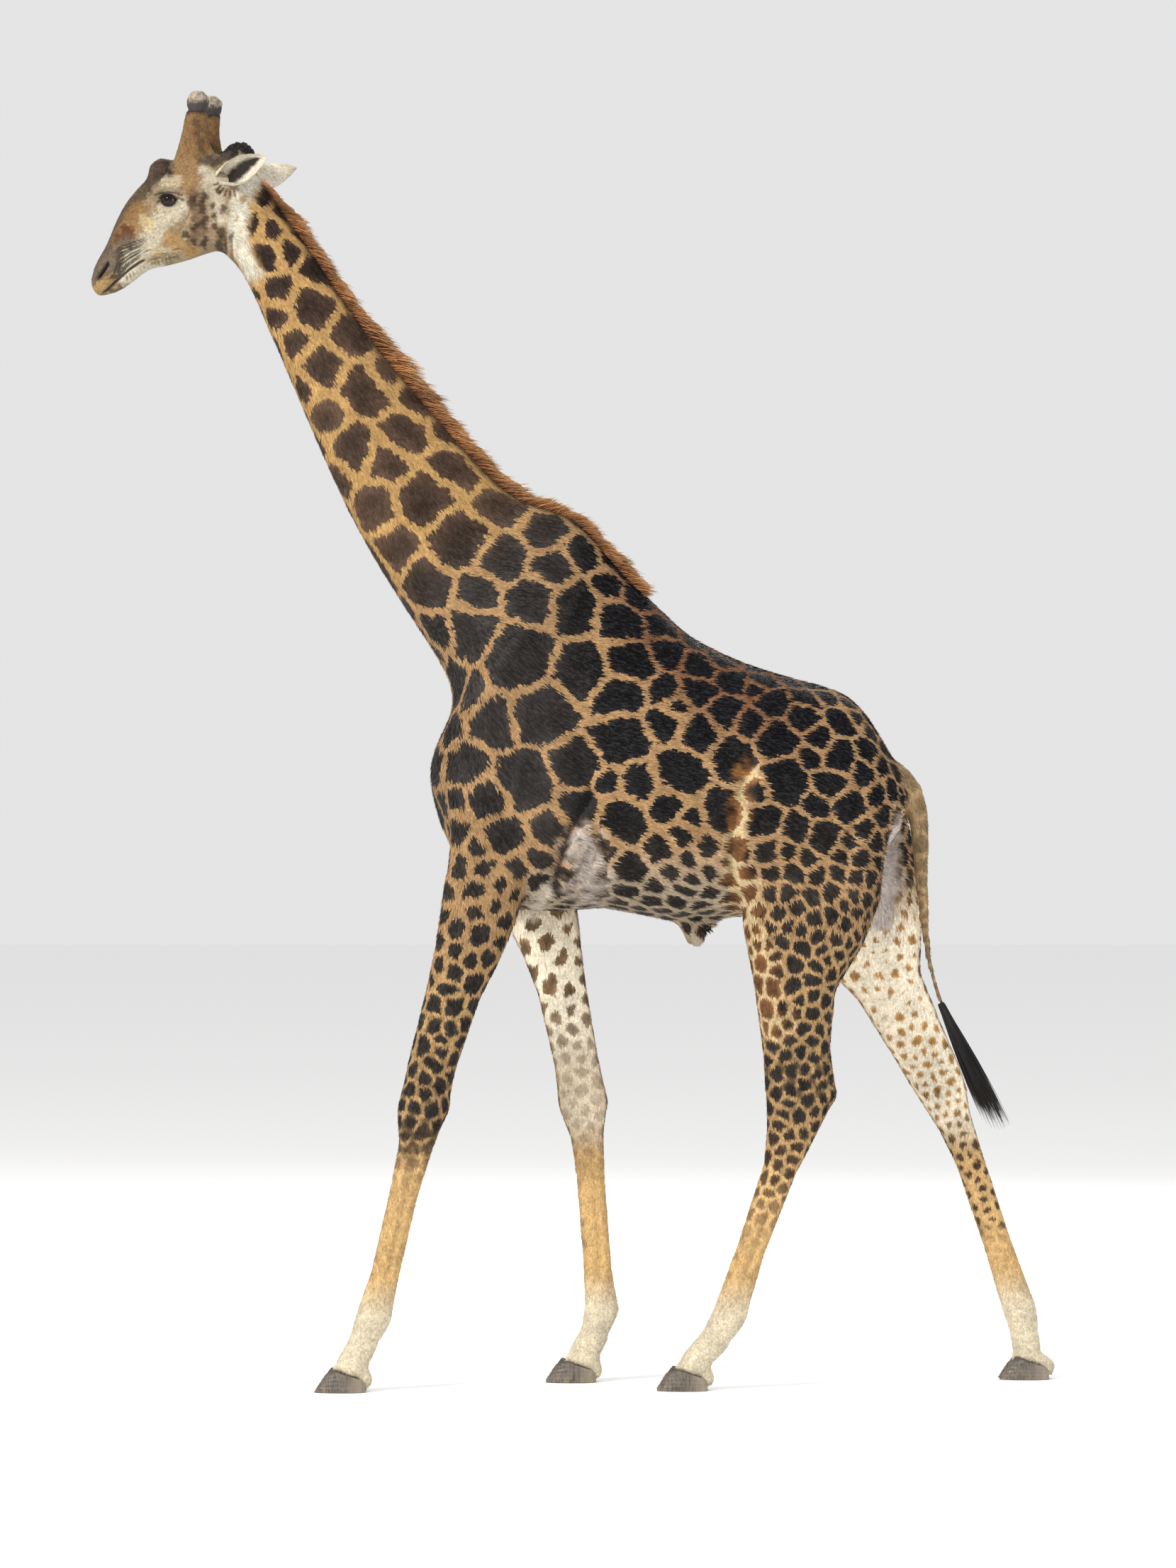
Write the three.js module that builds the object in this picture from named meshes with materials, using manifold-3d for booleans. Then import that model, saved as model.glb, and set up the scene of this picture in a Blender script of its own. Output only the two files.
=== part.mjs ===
// A life-size museum model of a southern giraffe bull in mid stride.
// Millimetres, +Z up, the floor at Z 0. The animal faces -X; its left side is -Y, its right side +Y.
// The flesh is modelled whole from lofts and rounded masses, then parted with thin cuts into named pieces.
import * as THREE from 'three';
import { mergeVertices } from 'three/addons/utils/BufferGeometryUtils.js';
import Module from 'manifold-3d';

const wasm = await Module();
wasm.setup();

// ---- driving dimensions ----
const CUT = 0.5; // width of the cut between two neighbouring pieces
const LEFT = -1;
const RIGHT = 1;
const WORD = { [LEFT]: 'left', [RIGHT]: 'right' };
const HEAD_TURN = THREE.MathUtils.degToRad(13); // the head looks a little to its right
const POLL_X = -1200; // the upright axis that the head turns on
const TWIST = { none: 3300, full: 4160 }; // heights between which the neck twists about its own middle
const LEG_CUT_Z = 1640; // the legs are parted from the trunk at belly level
const CORONET_TILT = 0.36; // fall of the hoof's top edge from toe to heel
const EYE = { x: -1409, out: 97, z: 4226, radius: 31 };

const FINISHES = {
  tan: { colour: 0x9a7b52, rough: 0.85 },
  patched: { colour: 0x2c2420, rough: 0.8 },
  rust: { colour: 0x9c5f2c, rough: 0.9 },
  black: { colour: 0x14110f, rough: 0.6 },
  hoof: { colour: 0x4a4441, rough: 0.55 },
  knob: { colour: 0x8d8377, rough: 0.7 },
  eye: { colour: 0x0c0a0b, rough: 0.1 },
};

// ---- the body from the muzzle to the rump ----
// Each station gives the upper and the lower outline, [x, z], then the half width,
// how square the section is (2 is an ellipse) and how much it narrows towards the upper outline.
const BODY = [
  { name: 'nose tip', top: [-1731, 3950], low: [-1714, 3899], half: 30, square: 2.2, narrow: 0 },
  { name: 'upper lip', top: [-1720, 3990], low: [-1690, 3898], half: 50, square: 2.4, narrow: 0 },
  { name: 'nostrils', top: [-1703, 4030], low: [-1645, 3910], half: 60, square: 2.4, narrow: 0.05 },
  { name: 'muzzle', top: [-1673, 4080], low: [-1577, 3946], half: 66, square: 2.4, narrow: 0.05 },
  { name: 'nose bridge', top: [-1641, 4157], low: [-1524, 3985], half: 72, square: 2.3, narrow: 0.12 },
  { name: 'front of cheek', top: [-1604, 4224], low: [-1448, 4000], half: 88, square: 2.2, narrow: 0.05 },
  { name: 'eye sockets', top: [-1550, 4286], low: [-1356, 4022], half: 110, square: 2.2, narrow: -0.08 },
  { name: 'brow', top: [-1484, 4338], low: [-1284, 4046], half: 121, square: 2.2, narrow: -0.12 },
  { name: 'forehead', top: [-1396, 4392], low: [-1238, 4046], half: 117, square: 2.1, narrow: -0.05 },
  { name: 'poll', top: [-1262, 4408], low: [-1208, 4012], half: 106, square: 2.1, narrow: 0.05 },
  { name: 'throat latch', top: [-1128, 4340], low: [-1190, 3984], half: 96, square: 2.1, narrow: 0.1 },
  { name: 'top of neck', top: [-1030, 4206], low: [-1163, 3943], half: 91, square: 2.1, narrow: 0.1 },
  { name: 'upper neck', top: [-945, 4094], low: [-1126, 3868], half: 92, square: 2.1, narrow: 0.1 },
  { name: 'middle of neck', top: [-720, 3763], low: [-996, 3565], half: 104, square: 2.1, narrow: 0.12 },
  { name: 'lower neck', top: [-502, 3499], low: [-859, 3249], half: 126, square: 2.1, narrow: 0.15 },
  { name: 'neck root', top: [-348, 3327], low: [-733, 2996], half: 148, square: 2.1, narrow: 0.2 },
  { name: 'neck base', top: [-184, 3172], low: [-576, 2743], half: 180, square: 2.1, narrow: 0.28 },
  { name: 'front of withers', top: [-12, 3117], low: [-452, 2545], half: 232, square: 2.1, narrow: 0.36 },
  { name: 'hollow of the breast', top: [62, 3060], low: [-424, 2400], half: 262, square: 2.1, narrow: 0.4 },
  { name: 'withers', top: [140, 2972], low: [-512, 2180], half: 298, square: 2.1, narrow: 0.42 },
  { name: 'breast', top: [221, 2880], low: [-398, 1850], half: 326, square: 2.1, narrow: 0.4 },
  { name: 'girth', top: [305, 2799], low: [-163, 1690], half: 350, square: 2.1, narrow: 0.34 },
  { name: 'ribs', top: [431, 2680], low: [115, 1700], half: 376, square: 2.1, narrow: 0.26 },
  { name: 'barrel', top: [621, 2586], low: [368, 1652], half: 388, square: 2.1, narrow: 0.18 },
  { name: 'flank', top: [811, 2525], low: [631, 1672], half: 362, square: 2.1, narrow: 0.12 },
  { name: 'croup', top: [1000, 2463], low: [884, 1720], half: 322, square: 2.2, narrow: 0.14 },
  { name: 'rump', top: [1124, 2290], low: [1068, 1840], half: 252, square: 2.1, narrow: 0.12 },
  { name: 'tail root', top: [1208, 2130], low: [1166, 1960], half: 120, square: 2.1, narrow: 0.05 },
];
const BODY_SIDES = 16;
const BODY_STEPS = 2;

// Rounded masses under the hide: at is the centre, size the half axes along X, Y and Z, lean the pitch
// in degrees. A mass with a side is made on both sides of the body.
const HEAD_MASSES = [
  { name: 'middle horn', at: [-1470, 0, 4332], size: [52, 46, 60], lean: 30 },
  { name: 'crest of the poll', at: [-1182, 0, 4390], size: [60, 60, 48], lean: 0 },
  { name: 'brow ridge', side: 66, at: [-1430, 0, 4282], size: [72, 52, 36], lean: -35 },
];
const BODY_MASSES = [
  { name: 'upper arm', side: 238, at: [-268, 0, 2060], size: [176, 108, 250], lean: -18 },
  { name: 'point of the shoulder', side: 150, at: [-400, 0, 2190], size: [104, 110, 150], lean: 0 },
  { name: 'belly sheath', at: [452, 0, 1652], size: [76, 46, 46], lean: -8 },
  { name: 'sheath tip', at: [444, 0, 1606], size: [44, 34, 43], lean: 18 },
];

// ---- legs ----
// Depth is half the length of a section from front to back, width half its breadth, both square to the bone.
const FORELEG = [
  { level: 'arm', depth: 165, width: 74 },
  { level: 'upper arm', depth: 150, width: 96 },
  { level: 'elbow', depth: 145, width: 98 },
  { level: 'forearm', depth: 122, width: 90 },
  { level: 'middle of forearm', depth: 102, width: 80 },
  { level: 'above knee', depth: 90, width: 66 },
  { level: 'knee', depth: 90, width: 69 },
  { level: 'below knee', depth: 65, width: 53 },
  { level: 'shank', depth: 55, width: 42 },
  { level: 'lower shank', depth: 55, width: 42 },
  { level: 'fetlock', depth: 66, width: 56 },
  { level: 'pastern', depth: 54, width: 53 },
  { level: 'coronet', depth: 57, width: 64 },
  { level: 'foot', depth: 62, width: 66 },
];
const HINDLEG = [
  { level: 'hip', depth: 150, width: 70 },
  { level: 'haunch', depth: 252, width: 112 },
  { level: 'thigh', depth: 256, width: 128 },
  { level: 'stifle', depth: 225, width: 120 },
  { level: 'gaskin', depth: 150, width: 96 },
  { level: 'above hock', depth: 126, width: 72 },
  { level: 'hock', depth: 132, width: 64 },
  { level: 'below hock', depth: 94, width: 55 },
  { level: 'shank', depth: 65, width: 45 },
  { level: 'lower shank', depth: 55, width: 42 },
  { level: 'fetlock', depth: 64, width: 55 },
  { level: 'pastern', depth: 56, width: 52 },
  { level: 'coronet', depth: 52, width: 64 },
  { level: 'foot', depth: 60, width: 66 },
];
// Where the middle of each level stands in the stride, [x, y, z]; the foot stands over toe.x.
// slim scales the depth of the levels at which a leg is drawn out by the stride.
const LEGS = [
  {
    name: 'left_fore', side: LEFT, shape: FORELEG, slim: {},
    path: [[-250, -215, 2180], [-286, -232, 1923], [-318, -240, 1710], [-364, -243, 1548], [-412, -243, 1411],
      [-486, -240, 1161], [-520, -239, 1000], [-544, -238, 870], [-588, -237, 700], [-655, -235, 410],
      [-694, -234, 268], [-734, -233, 168], [-768, -232, 98], [-790, -232, 44]],
    toe: { x: -905, y: -232 },
  },
  {
    name: 'right_fore', side: RIGHT, shape: FORELEG,
    slim: { forearm: 0.92, 'middle of forearm': 0.92, 'above knee': 0.95 },
    path: [[-190, 215, 2180], [-160, 230, 1923], [-112, 232, 1710], [-66, 224, 1548], [-32, 216, 1411],
      [18, 198, 1161], [46, 187, 1005], [60, 179, 885], [72, 169, 740], [98, 150, 400],
      [112, 142, 262], [86, 139, 172], [52, 137, 104], [30, 136, 44]],
    toe: { x: -92, y: 136 },
  },
  {
    name: 'left_hind', side: LEFT, shape: HINDLEG, slim: {},
    path: [[940, -176, 2261], [880, -200, 2011], [858, -212, 1786], [822, -220, 1620], [794, -222, 1423],
      [800, -214, 1210], [815, -207, 1052], [780, -202, 918], [744, -198, 792], [640, -188, 500],
      [564, -181, 270], [514, -178, 182], [452, -175, 112], [416, -174, 46]],
    toe: { x: 303, y: -174 },
  },
  {
    name: 'right_hind', side: RIGHT, shape: HINDLEG,
    slim: { gaskin: 0.86, 'above hock': 0.87, hock: 0.76, 'below hock': 0.72, shank: 0.86 },
    path: [[950, 176, 2261], [965, 200, 2011], [1010, 214, 1786], [1064, 222, 1620], [1150, 228, 1415],
      [1250, 232, 1220], [1320, 234, 1085], [1388, 236, 920], [1440, 238, 790], [1540, 242, 490],
      [1616, 245, 262], [1636, 246, 186], [1646, 246, 112], [1650, 246, 46]],
    toe: { x: 1542, y: 246 },
  },
];
const LEG_SIDES = 10;
const LEG_SQUARE = 2.15;

// ---- hooves: two to a foot, with a cleft between them ----
// toeShare and heelShare are the breadth at the two ends as shares of toeHalf, waist the loss at the top.
const HOOF = {
  length: 186, toeHalf: 35, cleft: 5, toeHeight: 84, wallSlope: 60, heelSlope: 8,
  toeShare: 0.86, heelShare: 1.14, waist: 0.1,
};
const HOOF_LEVELS = [0, 0.5, 1];
const HOOF_SIDES = 12;
const HEEL_BULB = { back: 165, rise: 46, size: [44, 56, 40] };

// ---- horns, ears, mane and tail ----
// Stations up one horn: height z, middle x, half length, half breadth and distance from the midline.
const HORN = [
  { z: 4290, x: -1326, long: 100, broad: 52, out: 58 },
  { z: 4372, x: -1326, long: 84, broad: 48, out: 64 },
  { z: 4416, x: -1326, long: 63, broad: 42, out: 69 },
  { z: 4462, x: -1324, long: 50, broad: 38, out: 74 },
  { z: 4530, x: -1316, long: 40, broad: 35, out: 80 },
  { z: 4566, x: -1310, long: 41, broad: 39, out: 84 },
  { z: 4594, x: -1308, long: 37, broad: 35, out: 86 },
  { z: 4613, x: -1308, long: 20, broad: 18, out: 86 },
];
const HORN_SIDES = 11;
const HORN_CUT_Z = 4422;
const CAP_CUT_Z = 4548;
const HORN_ROOM = [150, 200];

// The right ear, mirrored for the left. The leaf is widest a little past its middle and closes to the tip,
// stem is the breadth of its foot, and gristle gives its thickness at the root and the tip.
const EAR = {
  root: [-1216, 92, 4306], tip: [-1018, 206, 4362],
  width: 50, stem: 0.3, cup: 34, thick: 9, gristle: [1.9, 0.7], lean: [-0.12, 0, 1],
};
const EAR_ROWS = 8;
const EAR_ARC = 4;

// Along the crest of the neck: the hide's outline, [x, z], and how far the mane stands up from it.
const MANE = [
  { at: [-1110, 4312], tall: 14 },
  { at: [-1059, 4240], tall: 62 },
  { at: [-945, 4094], tall: 68 },
  { at: [-836, 3935], tall: 54 },
  { at: [-773, 3842], tall: 60 },
  { at: [-657, 3687], tall: 62 },
  { at: [-530, 3533], tall: 52 },
  { at: [-444, 3432], tall: 62 },
  { at: [-348, 3327], tall: 54 },
  { at: [-249, 3226], tall: 56 },
  { at: [-184, 3172], tall: 48 },
  { at: [-12, 3117], tall: 38 },
  { at: [62, 3060], tall: 54 },
  { at: [140, 2972], tall: 58 },
  { at: [216, 2886], tall: 42 },
  { at: [268, 2834], tall: 4 },
];
// Half thickness at the foot and at the top, where the bevel between them starts, and how deep it is rooted.
const MANE_BLADE = { root: 17, bevel: 13.6, bevelAt: 0.6, top: 8, sunk: 30 };

const TAIL = [
  { at: [1140, 0, 2200], half: 46 },
  { at: [1214, 0, 2124], half: 45 },
  { at: [1246, 0, 1990], half: 38 },
  { at: [1252, -4, 1830], half: 28 },
  { at: [1262, -6, 1690], half: 21 },
  { at: [1280, -8, 1510], half: 13 },
  { at: [1328, -8, 1352], half: 12 },
  { at: [1364, -8, 1250], half: 30 },
  { at: [1404, -8, 1140], half: 38 },
  { at: [1456, -8, 1030], half: 30 },
  { at: [1534, -8, 926], half: 5 },
];
const TAIL_SIDES = 8;
const TAIL_STEPS = 2;
const TUFT_CUT = { at: [1328, -8, 1352], toward: [0.25, 0, -1] };

// Where the flesh is parted. Legs are divided fore from hind at x, and from the belly at y each side.
const JOINT_LEVEL = 6;
const LEG_DIVIDE = { x: 200, y: 60, room: 2400 };
const NECK_CUT = { at: [-330, 0, 2960], toward: [-0.56, 0, 0.83] };
const HEAD_CUT = { at: [-1168, 0, 4140], toward: [-0.86, 0, 0.5] };
const WHOLE = 3000; // longer and broader than anything that a block has to cut
const SOLE_Z = 6; // the flesh of the feet ends this far above the soles

// ---- making solids ----
function solid(geometry) {
  const bare = geometry.clone();
  bare.deleteAttribute('normal');
  bare.deleteAttribute('uv');
  const merged = mergeVertices(bare, 1e-3);
  return new wasm.Manifold(new wasm.Mesh({
    numProp: 3,
    vertProperties: new Float32Array(merged.attributes.position.array),
    triVerts: new Uint32Array(merged.index.array),
  }));
}

function union(solids) {
  return solids.reduce((sum, next) => sum.add(next));
}

// A closed skin over rings of equal point counts, turned to face outwards.
function loft(rings) {
  const count = rings[0].length;
  const points = rings.flat();
  const faces = [];
  for (let r = 0; r < rings.length - 1; r += 1) {
    for (let i = 0; i < count; i += 1) {
      const a = r * count + i;
      const b = r * count + ((i + 1) % count);
      faces.push(a, b, a + count, b, b + count, a + count);
    }
  }
  const last = (rings.length - 1) * count;
  for (let i = 1; i < count - 1; i += 1) {
    faces.push(0, i + 1, i);
    faces.push(last, last + i, last + i + 1);
  }
  const volume = faces.reduce((sum, _, i) => (i % 3 ? sum
    : sum + points[faces[i]].dot(points[faces[i + 1]].clone().cross(points[faces[i + 2]]))), 0);
  if (volume < 0) faces.reverse();
  const geometry = new THREE.BufferGeometry().setFromPoints(points);
  geometry.setIndex(faces);
  return geometry;
}

// Passes a smooth curve through the numbers of each row, with steps rows to each gap.
function smoothRows(rows, steps) {
  const out = [];
  const at = (i) => rows[Math.min(Math.max(i, 0), rows.length - 1)];
  for (let i = 0; i < rows.length - 1; i += 1) {
    for (let s = 0; s < steps; s += 1) {
      const t = s / steps;
      out.push(at(i).map((b, k) => {
        const [a, c, d] = [at(i - 1)[k], at(i + 1)[k], at(i + 2)[k]];
        return b + 0.5 * t * (c - a + t * (2 * a - 5 * b + 4 * c - d + t * (3 * (b - c) + d - a)));
      }));
    }
  }
  out.push(rows[rows.length - 1]);
  return out;
}

// A superellipse ring: centre, unit up and side directions, half depth, half width, squareness and narrowing.
function ring(centre, up, side, depth, width, square, narrow, sides) {
  const power = 2 / square;
  const points = [];
  for (let i = 0; i < sides; i += 1) {
    const angle = (2 * Math.PI * i) / sides + Math.PI / 2;
    const across = Math.sign(Math.cos(angle)) * Math.abs(Math.cos(angle)) ** power;
    const along = Math.sign(Math.sin(angle)) * Math.abs(Math.sin(angle)) ** power;
    points.push(centre.clone()
      .addScaledVector(side, width * across * (1 - narrow * along))
      .addScaledVector(up, depth * along));
  }
  return points;
}

const BALL_FACETS = [10, 7];

function ball({ at, size, lean }, side) {
  const geometry = new THREE.SphereGeometry(1, ...BALL_FACETS);
  geometry.scale(...size);
  geometry.rotateY(THREE.MathUtils.degToRad(lean));
  geometry.translate(at[0], at[1] + side, at[2]);
  return geometry;
}

function balls(masses) {
  return masses.flatMap((mass) => {
    const sides = mass.side ? [mass.side, -mass.side] : [0];
    return sides.map((side) => ball(mass, side));
  });
}

// ---- the body ----
// Turns a point to the animal's right about an upright axis at pivot.
function turn(point, angle, pivot) {
  const forward = point.x - pivot;
  const y = point.y;
  point.setX(pivot + forward * Math.cos(angle) + y * Math.sin(angle));
  point.setY(-forward * Math.sin(angle) + y * Math.cos(angle));
}

// The head turns as one; the neck only twists, each section about its own middle.
function turnOfSection(x, z) {
  const twist = HEAD_TURN * THREE.MathUtils.smoothstep(z, TWIST.none, TWIST.full);
  return x < POLL_X ? [HEAD_TURN, POLL_X] : [twist, x];
}

function turnHead(geometry) {
  const places = geometry.attributes.position;
  const point = new THREE.Vector3();
  for (let i = 0; i < places.count; i += 1) {
    turn(point.fromBufferAttribute(places, i), HEAD_TURN, POLL_X);
    places.setXYZ(i, point.x, point.y, point.z);
  }
  return geometry;
}

// grow widens the loft by that much all round; pieces that lie on the hide are cut with a grown copy.
function bodyLoft(grow) {
  const rows = BODY.map((s) => [...s.top, ...s.low, s.half, s.square, s.narrow]);
  const rings = smoothRows(rows, BODY_STEPS).map(([tx, tz, lx, lz, half, square, narrow]) => {
    const centre = new THREE.Vector3((tx + lx) / 2, 0, (tz + lz) / 2);
    const up = new THREE.Vector3(tx - lx, 0, tz - lz);
    const depth = up.length() / 2;
    const side = new THREE.Vector3(0, 1, 0);
    const points = ring(centre, up.normalize(), side, depth + grow, half + grow, square, narrow, BODY_SIDES);
    points.forEach((point) => turn(point, ...turnOfSection(centre.x, centre.z)));
    return points;
  });
  rings[0].forEach((point) => { point.x -= grow; });
  rings[rings.length - 1].forEach((point) => { point.x += grow; });
  return loft(rings);
}

// ---- legs ----
const ROUND = 2; // the squareness of a plain ellipse

// Sections square to a path, with their side kept level.
function tube(path, depths, widths, square, sides) {
  const points = path.map((p) => new THREE.Vector3(...p));
  const rings = points.map((point, i) => {
    const before = points[Math.max(i - 1, 0)];
    const after = points[Math.min(i + 1, points.length - 1)];
    const along = after.clone().sub(before).normalize();
    const side = new THREE.Vector3(0, 1, 0).addScaledVector(along, -along.y).normalize();
    const up = new THREE.Vector3().crossVectors(along, side);
    return ring(point, up, side, depths[i], widths[i], square, 0, sides);
  });
  return loft(rings);
}

function legLoft(leg, grow) {
  const depths = leg.shape.map((s) => s.depth * (leg.slim[s.level] ?? 1) + grow);
  const widths = leg.shape.map((s) => s.width + grow);
  return tube(leg.path, depths, widths, LEG_SQUARE, LEG_SIDES);
}

function heelBulb(leg) {
  const at = [leg.toe.x + HEEL_BULB.back, leg.toe.y, HEEL_BULB.rise];
  return ball({ at, size: HEEL_BULB.size, lean: 0 }, 0);
}

// One hoof of a pair: a flat sole drawn out to the toe, walls that lean back, and a top edge that falls to
// the heel. grow makes the copy that cuts its seat in the foot, no wider than the hoof beside the cleft.
function hoof(leg, half, grow) {
  const middle = leg.toe.y + half * (HOOF.toeHalf + HOOF.cleft / 2);
  const rings = HOOF_LEVELS.map((t) => {
    const front = HOOF.wallSlope * t - grow;
    const back = HOOF.length - HOOF.heelSlope * t + grow;
    const points = [];
    for (let i = 0; i < HOOF_SIDES; i += 1) {
      const angle = (2 * Math.PI * i) / HOOF_SIDES;
      const share = (1 - Math.cos(angle)) / 2;
      const x = front + (back - front) * share;
      const taper = THREE.MathUtils.lerp(HOOF.toeShare, HOOF.heelShare, share) * (1 - HOOF.waist * t);
      const breadth = (HOOF.toeHalf + grow) * Math.abs(Math.sin(angle)) * taper;
      const way = Math.sign(Math.sin(angle));
      const y = way * (way === -half ? Math.min(breadth, HOOF.toeHalf) : breadth);
      const top = HOOF.toeHeight - CORONET_TILT * (x - HOOF.wallSlope) + grow;
      points.push(new THREE.Vector3(leg.toe.x + x, middle + y, t === 0 ? -grow : t * top));
    }
    return points;
  });
  return loft(rings);
}

// ---- horns, ears, mane and tail ----
function hornLoft(side) {
  const path = HORN.map((s) => [s.x, side * s.out, s.z]);
  return tube(path, HORN.map((s) => s.long), HORN.map((s) => s.broad), ROUND, HORN_SIDES);
}

// A leaf rolled into a cup: the outer face bulges back and inwards, the open face looks out and forward.
function earLoft(side) {
  const root = new THREE.Vector3(EAR.root[0], side * EAR.root[1], EAR.root[2]);
  const tip = new THREE.Vector3(EAR.tip[0], side * EAR.tip[1], EAR.tip[2]);
  const along = tip.clone().sub(root);
  const across = new THREE.Vector3(...EAR.lean).addScaledVector(along.clone().normalize(), -0.2).normalize();
  const inward = new THREE.Vector3().crossVectors(along, across).normalize();
  if (inward.y * side > 0) inward.negate();
  const rings = [];
  for (let r = 0; r <= EAR_ROWS; r += 1) {
    const t = r / EAR_ROWS;
    const leaf = Math.sin(Math.PI * (t * 0.84 + 0.12)) ** 0.8;
    const width = EAR.width * (EAR.stem * (1 - t) + 1.02 * leaf);
    const cup = EAR.cup * (1 - 0.55 * t) * Math.min(1, width / EAR.width + 0.25);
    const thick = EAR.thick * THREE.MathUtils.lerp(...EAR.gristle, t);
    const centre = root.clone().addScaledVector(along, t);
    const back = [];
    const front = [];
    for (let i = 0; i <= EAR_ARC; i += 1) {
      const u = -1 + (2 * i) / EAR_ARC;
      const bulge = 1 - u * u;
      back.push(centre.clone().addScaledVector(across, u * width).addScaledVector(inward, cup * bulge));
      front.push(centre.clone().addScaledVector(across, u * (width - thick * 0.4))
        .addScaledVector(inward, cup * bulge - thick));
    }
    rings.push([...back, ...front.reverse()]);
  }
  return loft(rings);
}

// The middle of the neck's section whose crest is at height z.
function middleOfNeck(z) {
  const i = BODY.findIndex((s, k) => k > 0 && s.top[0] > POLL_X && s.top[1] <= z);
  const [a, b] = i > 0 ? [BODY[i - 1], BODY[i]] : [BODY[BODY.length - 2], BODY[BODY.length - 1]];
  const t = THREE.MathUtils.clamp((a.top[1] - z) / (a.top[1] - b.top[1]), 0, 1);
  return [0, 1].map((k) => THREE.MathUtils.lerp((a.top[k] + a.low[k]) / 2, (b.top[k] + b.low[k]) / 2, t));
}

function maneLoft() {
  const rows = MANE.map((s) => [...s.at, s.tall]);
  const rings = rows.map(([x, z, tall], i) => {
    const [ax, az] = rows[Math.max(i - 1, 0)];
    const [bx, bz] = rows[Math.min(i + 1, rows.length - 1)];
    const out = new THREE.Vector3(az - bz, 0, bx - ax).normalize();
    const at = (height, y) => new THREE.Vector3(x, y, z).addScaledVector(out, height);
    const { root, bevel, bevelAt, top, sunk } = MANE_BLADE;
    const points = [at(-sunk, root), at(tall * bevelAt, bevel), at(tall, top),
      at(tall, -top), at(tall * bevelAt, -bevel), at(-sunk, -root)];
    const [middleX, middleZ] = middleOfNeck(z);
    points.forEach((point) => turn(point, ...turnOfSection(Math.max(middleX, POLL_X), middleZ)));
    return points;
  });
  return loft(rings);
}

function tailLoft() {
  const rows = smoothRows(TAIL.map((s) => [...s.at, s.half]), TAIL_STEPS);
  const halves = rows.map((r) => r[3]);
  return tube(rows.map((r) => r.slice(0, 3)), halves, halves, ROUND, TAIL_SIDES);
}

// ---- cutting ----
// A large block that starts back before a point and runs along a direction.
function block(point, direction, reach, [broad, deep], back) {
  const geometry = new THREE.BoxGeometry(broad, deep, reach);
  geometry.translate(0, 0, reach / 2 - back);
  const toward = new THREE.Vector3(...direction).normalize();
  geometry.applyQuaternion(new THREE.Quaternion().setFromUnitVectors(new THREE.Vector3(0, 0, 1), toward));
  geometry.translate(...point);
  return geometry;
}

// Takes what lies beyond a cut off the stock; returns [the rest, the piece taken]. place may turn the cut.
function part(stock, point, direction, reach, room, place = (geometry) => geometry) {
  const cutter = (back) => solid(place(block(point, direction, reach, room, back)));
  return [stock.subtract(cutter(CUT)), stock.intersect(cutter(0))];
}

const pieces = [];
function keep(name, shape, finish) {
  pieces.push({ name, shape, finish });
}

// ---- flesh, whole ----
function fleshOf(grow) {
  const lofts = [bodyLoft(grow), ...balls(HEAD_MASSES).map(turnHead), ...balls(BODY_MASSES)];
  return union(lofts.map(solid));
}

const hornShapes = [LEFT, RIGHT].map((side) => solid(turnHead(hornLoft(side))));
const legShapes = LEGS.map((leg) => union([solid(legLoft(leg, 0)), solid(heelBulb(leg))]));
let flesh = union([fleshOf(0), ...legShapes, ...hornShapes]);

// The feet stop at the floor, and each hoof has its own seat in the foot.
flesh = flesh.subtract(solid(block([0, 0, SOLE_Z], [0, 0, -1], WHOLE, [2 * WHOLE, WHOLE], 0)));
for (const leg of LEGS) {
  for (const half of [LEFT, RIGHT]) {
    const place = half === leg.side ? 'outer' : 'inner';
    keep(`${leg.name}_${place}_hoof`, solid(hoof(leg, half, 0)), FINISHES.hoof);
    flesh = flesh.subtract(solid(hoof(leg, half, CUT)));
  }
}

// Eyes sit in sockets of their own.
const EYE_FACETS = [11, 8];
for (const side of [LEFT, RIGHT]) {
  const globe = (radius) => solid(turnHead(
    new THREE.SphereGeometry(radius, ...EYE_FACETS).translate(EYE.x, side * EYE.out, EYE.z),
  ));
  keep(`${WORD[side]}_eye`, globe(EYE.radius), FINISHES.eye);
  flesh = flesh.subtract(globe(EYE.radius + CUT));
}

// ---- flesh, parted ----
let piece;
for (const side of [LEFT, RIGHT]) {
  const at = [HORN[2].x, side * (HORN_ROOM[1] / 2 + CUT)];
  [flesh, piece] = part(flesh, [...at, HORN_CUT_Z], [0, 0, 1], WHOLE, HORN_ROOM, turnHead);
  const [shaft, cap] = part(piece, [...at, CAP_CUT_Z], [0, 0, 1], WHOLE, HORN_ROOM, turnHead);
  keep(`${WORD[side]}_horn`, shaft, FINISHES.rust);
  keep(`${WORD[side]}_horn_cap`, cap, FINISHES.knob);
}

// Legs are cut off level with the belly, and again at the knee or the hock.
for (const leg of LEGS) {
  const fore = leg.shape === FORELEG;
  const middleX = LEG_DIVIDE.x + (fore ? -1 : 1) * LEG_DIVIDE.room / 2;
  const middleY = leg.side * (LEG_DIVIDE.y + LEG_DIVIDE.room / 2);
  const room = [LEG_DIVIDE.room, LEG_DIVIDE.room];
  [flesh, piece] = part(flesh, [middleX, middleY, LEG_CUT_Z], [0, 0, -1], WHOLE, room);
  const joint = leg.path[JOINT_LEVEL][2];
  const [upper, lower] = part(piece, [middleX, middleY, joint], [0, 0, -1], WHOLE, room);
  keep(`${leg.name}_${fore ? 'forearm' : 'gaskin'}`, upper, FINISHES.tan);
  keep(`${leg.name}_shank`, lower, FINISHES.tan);
}

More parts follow.
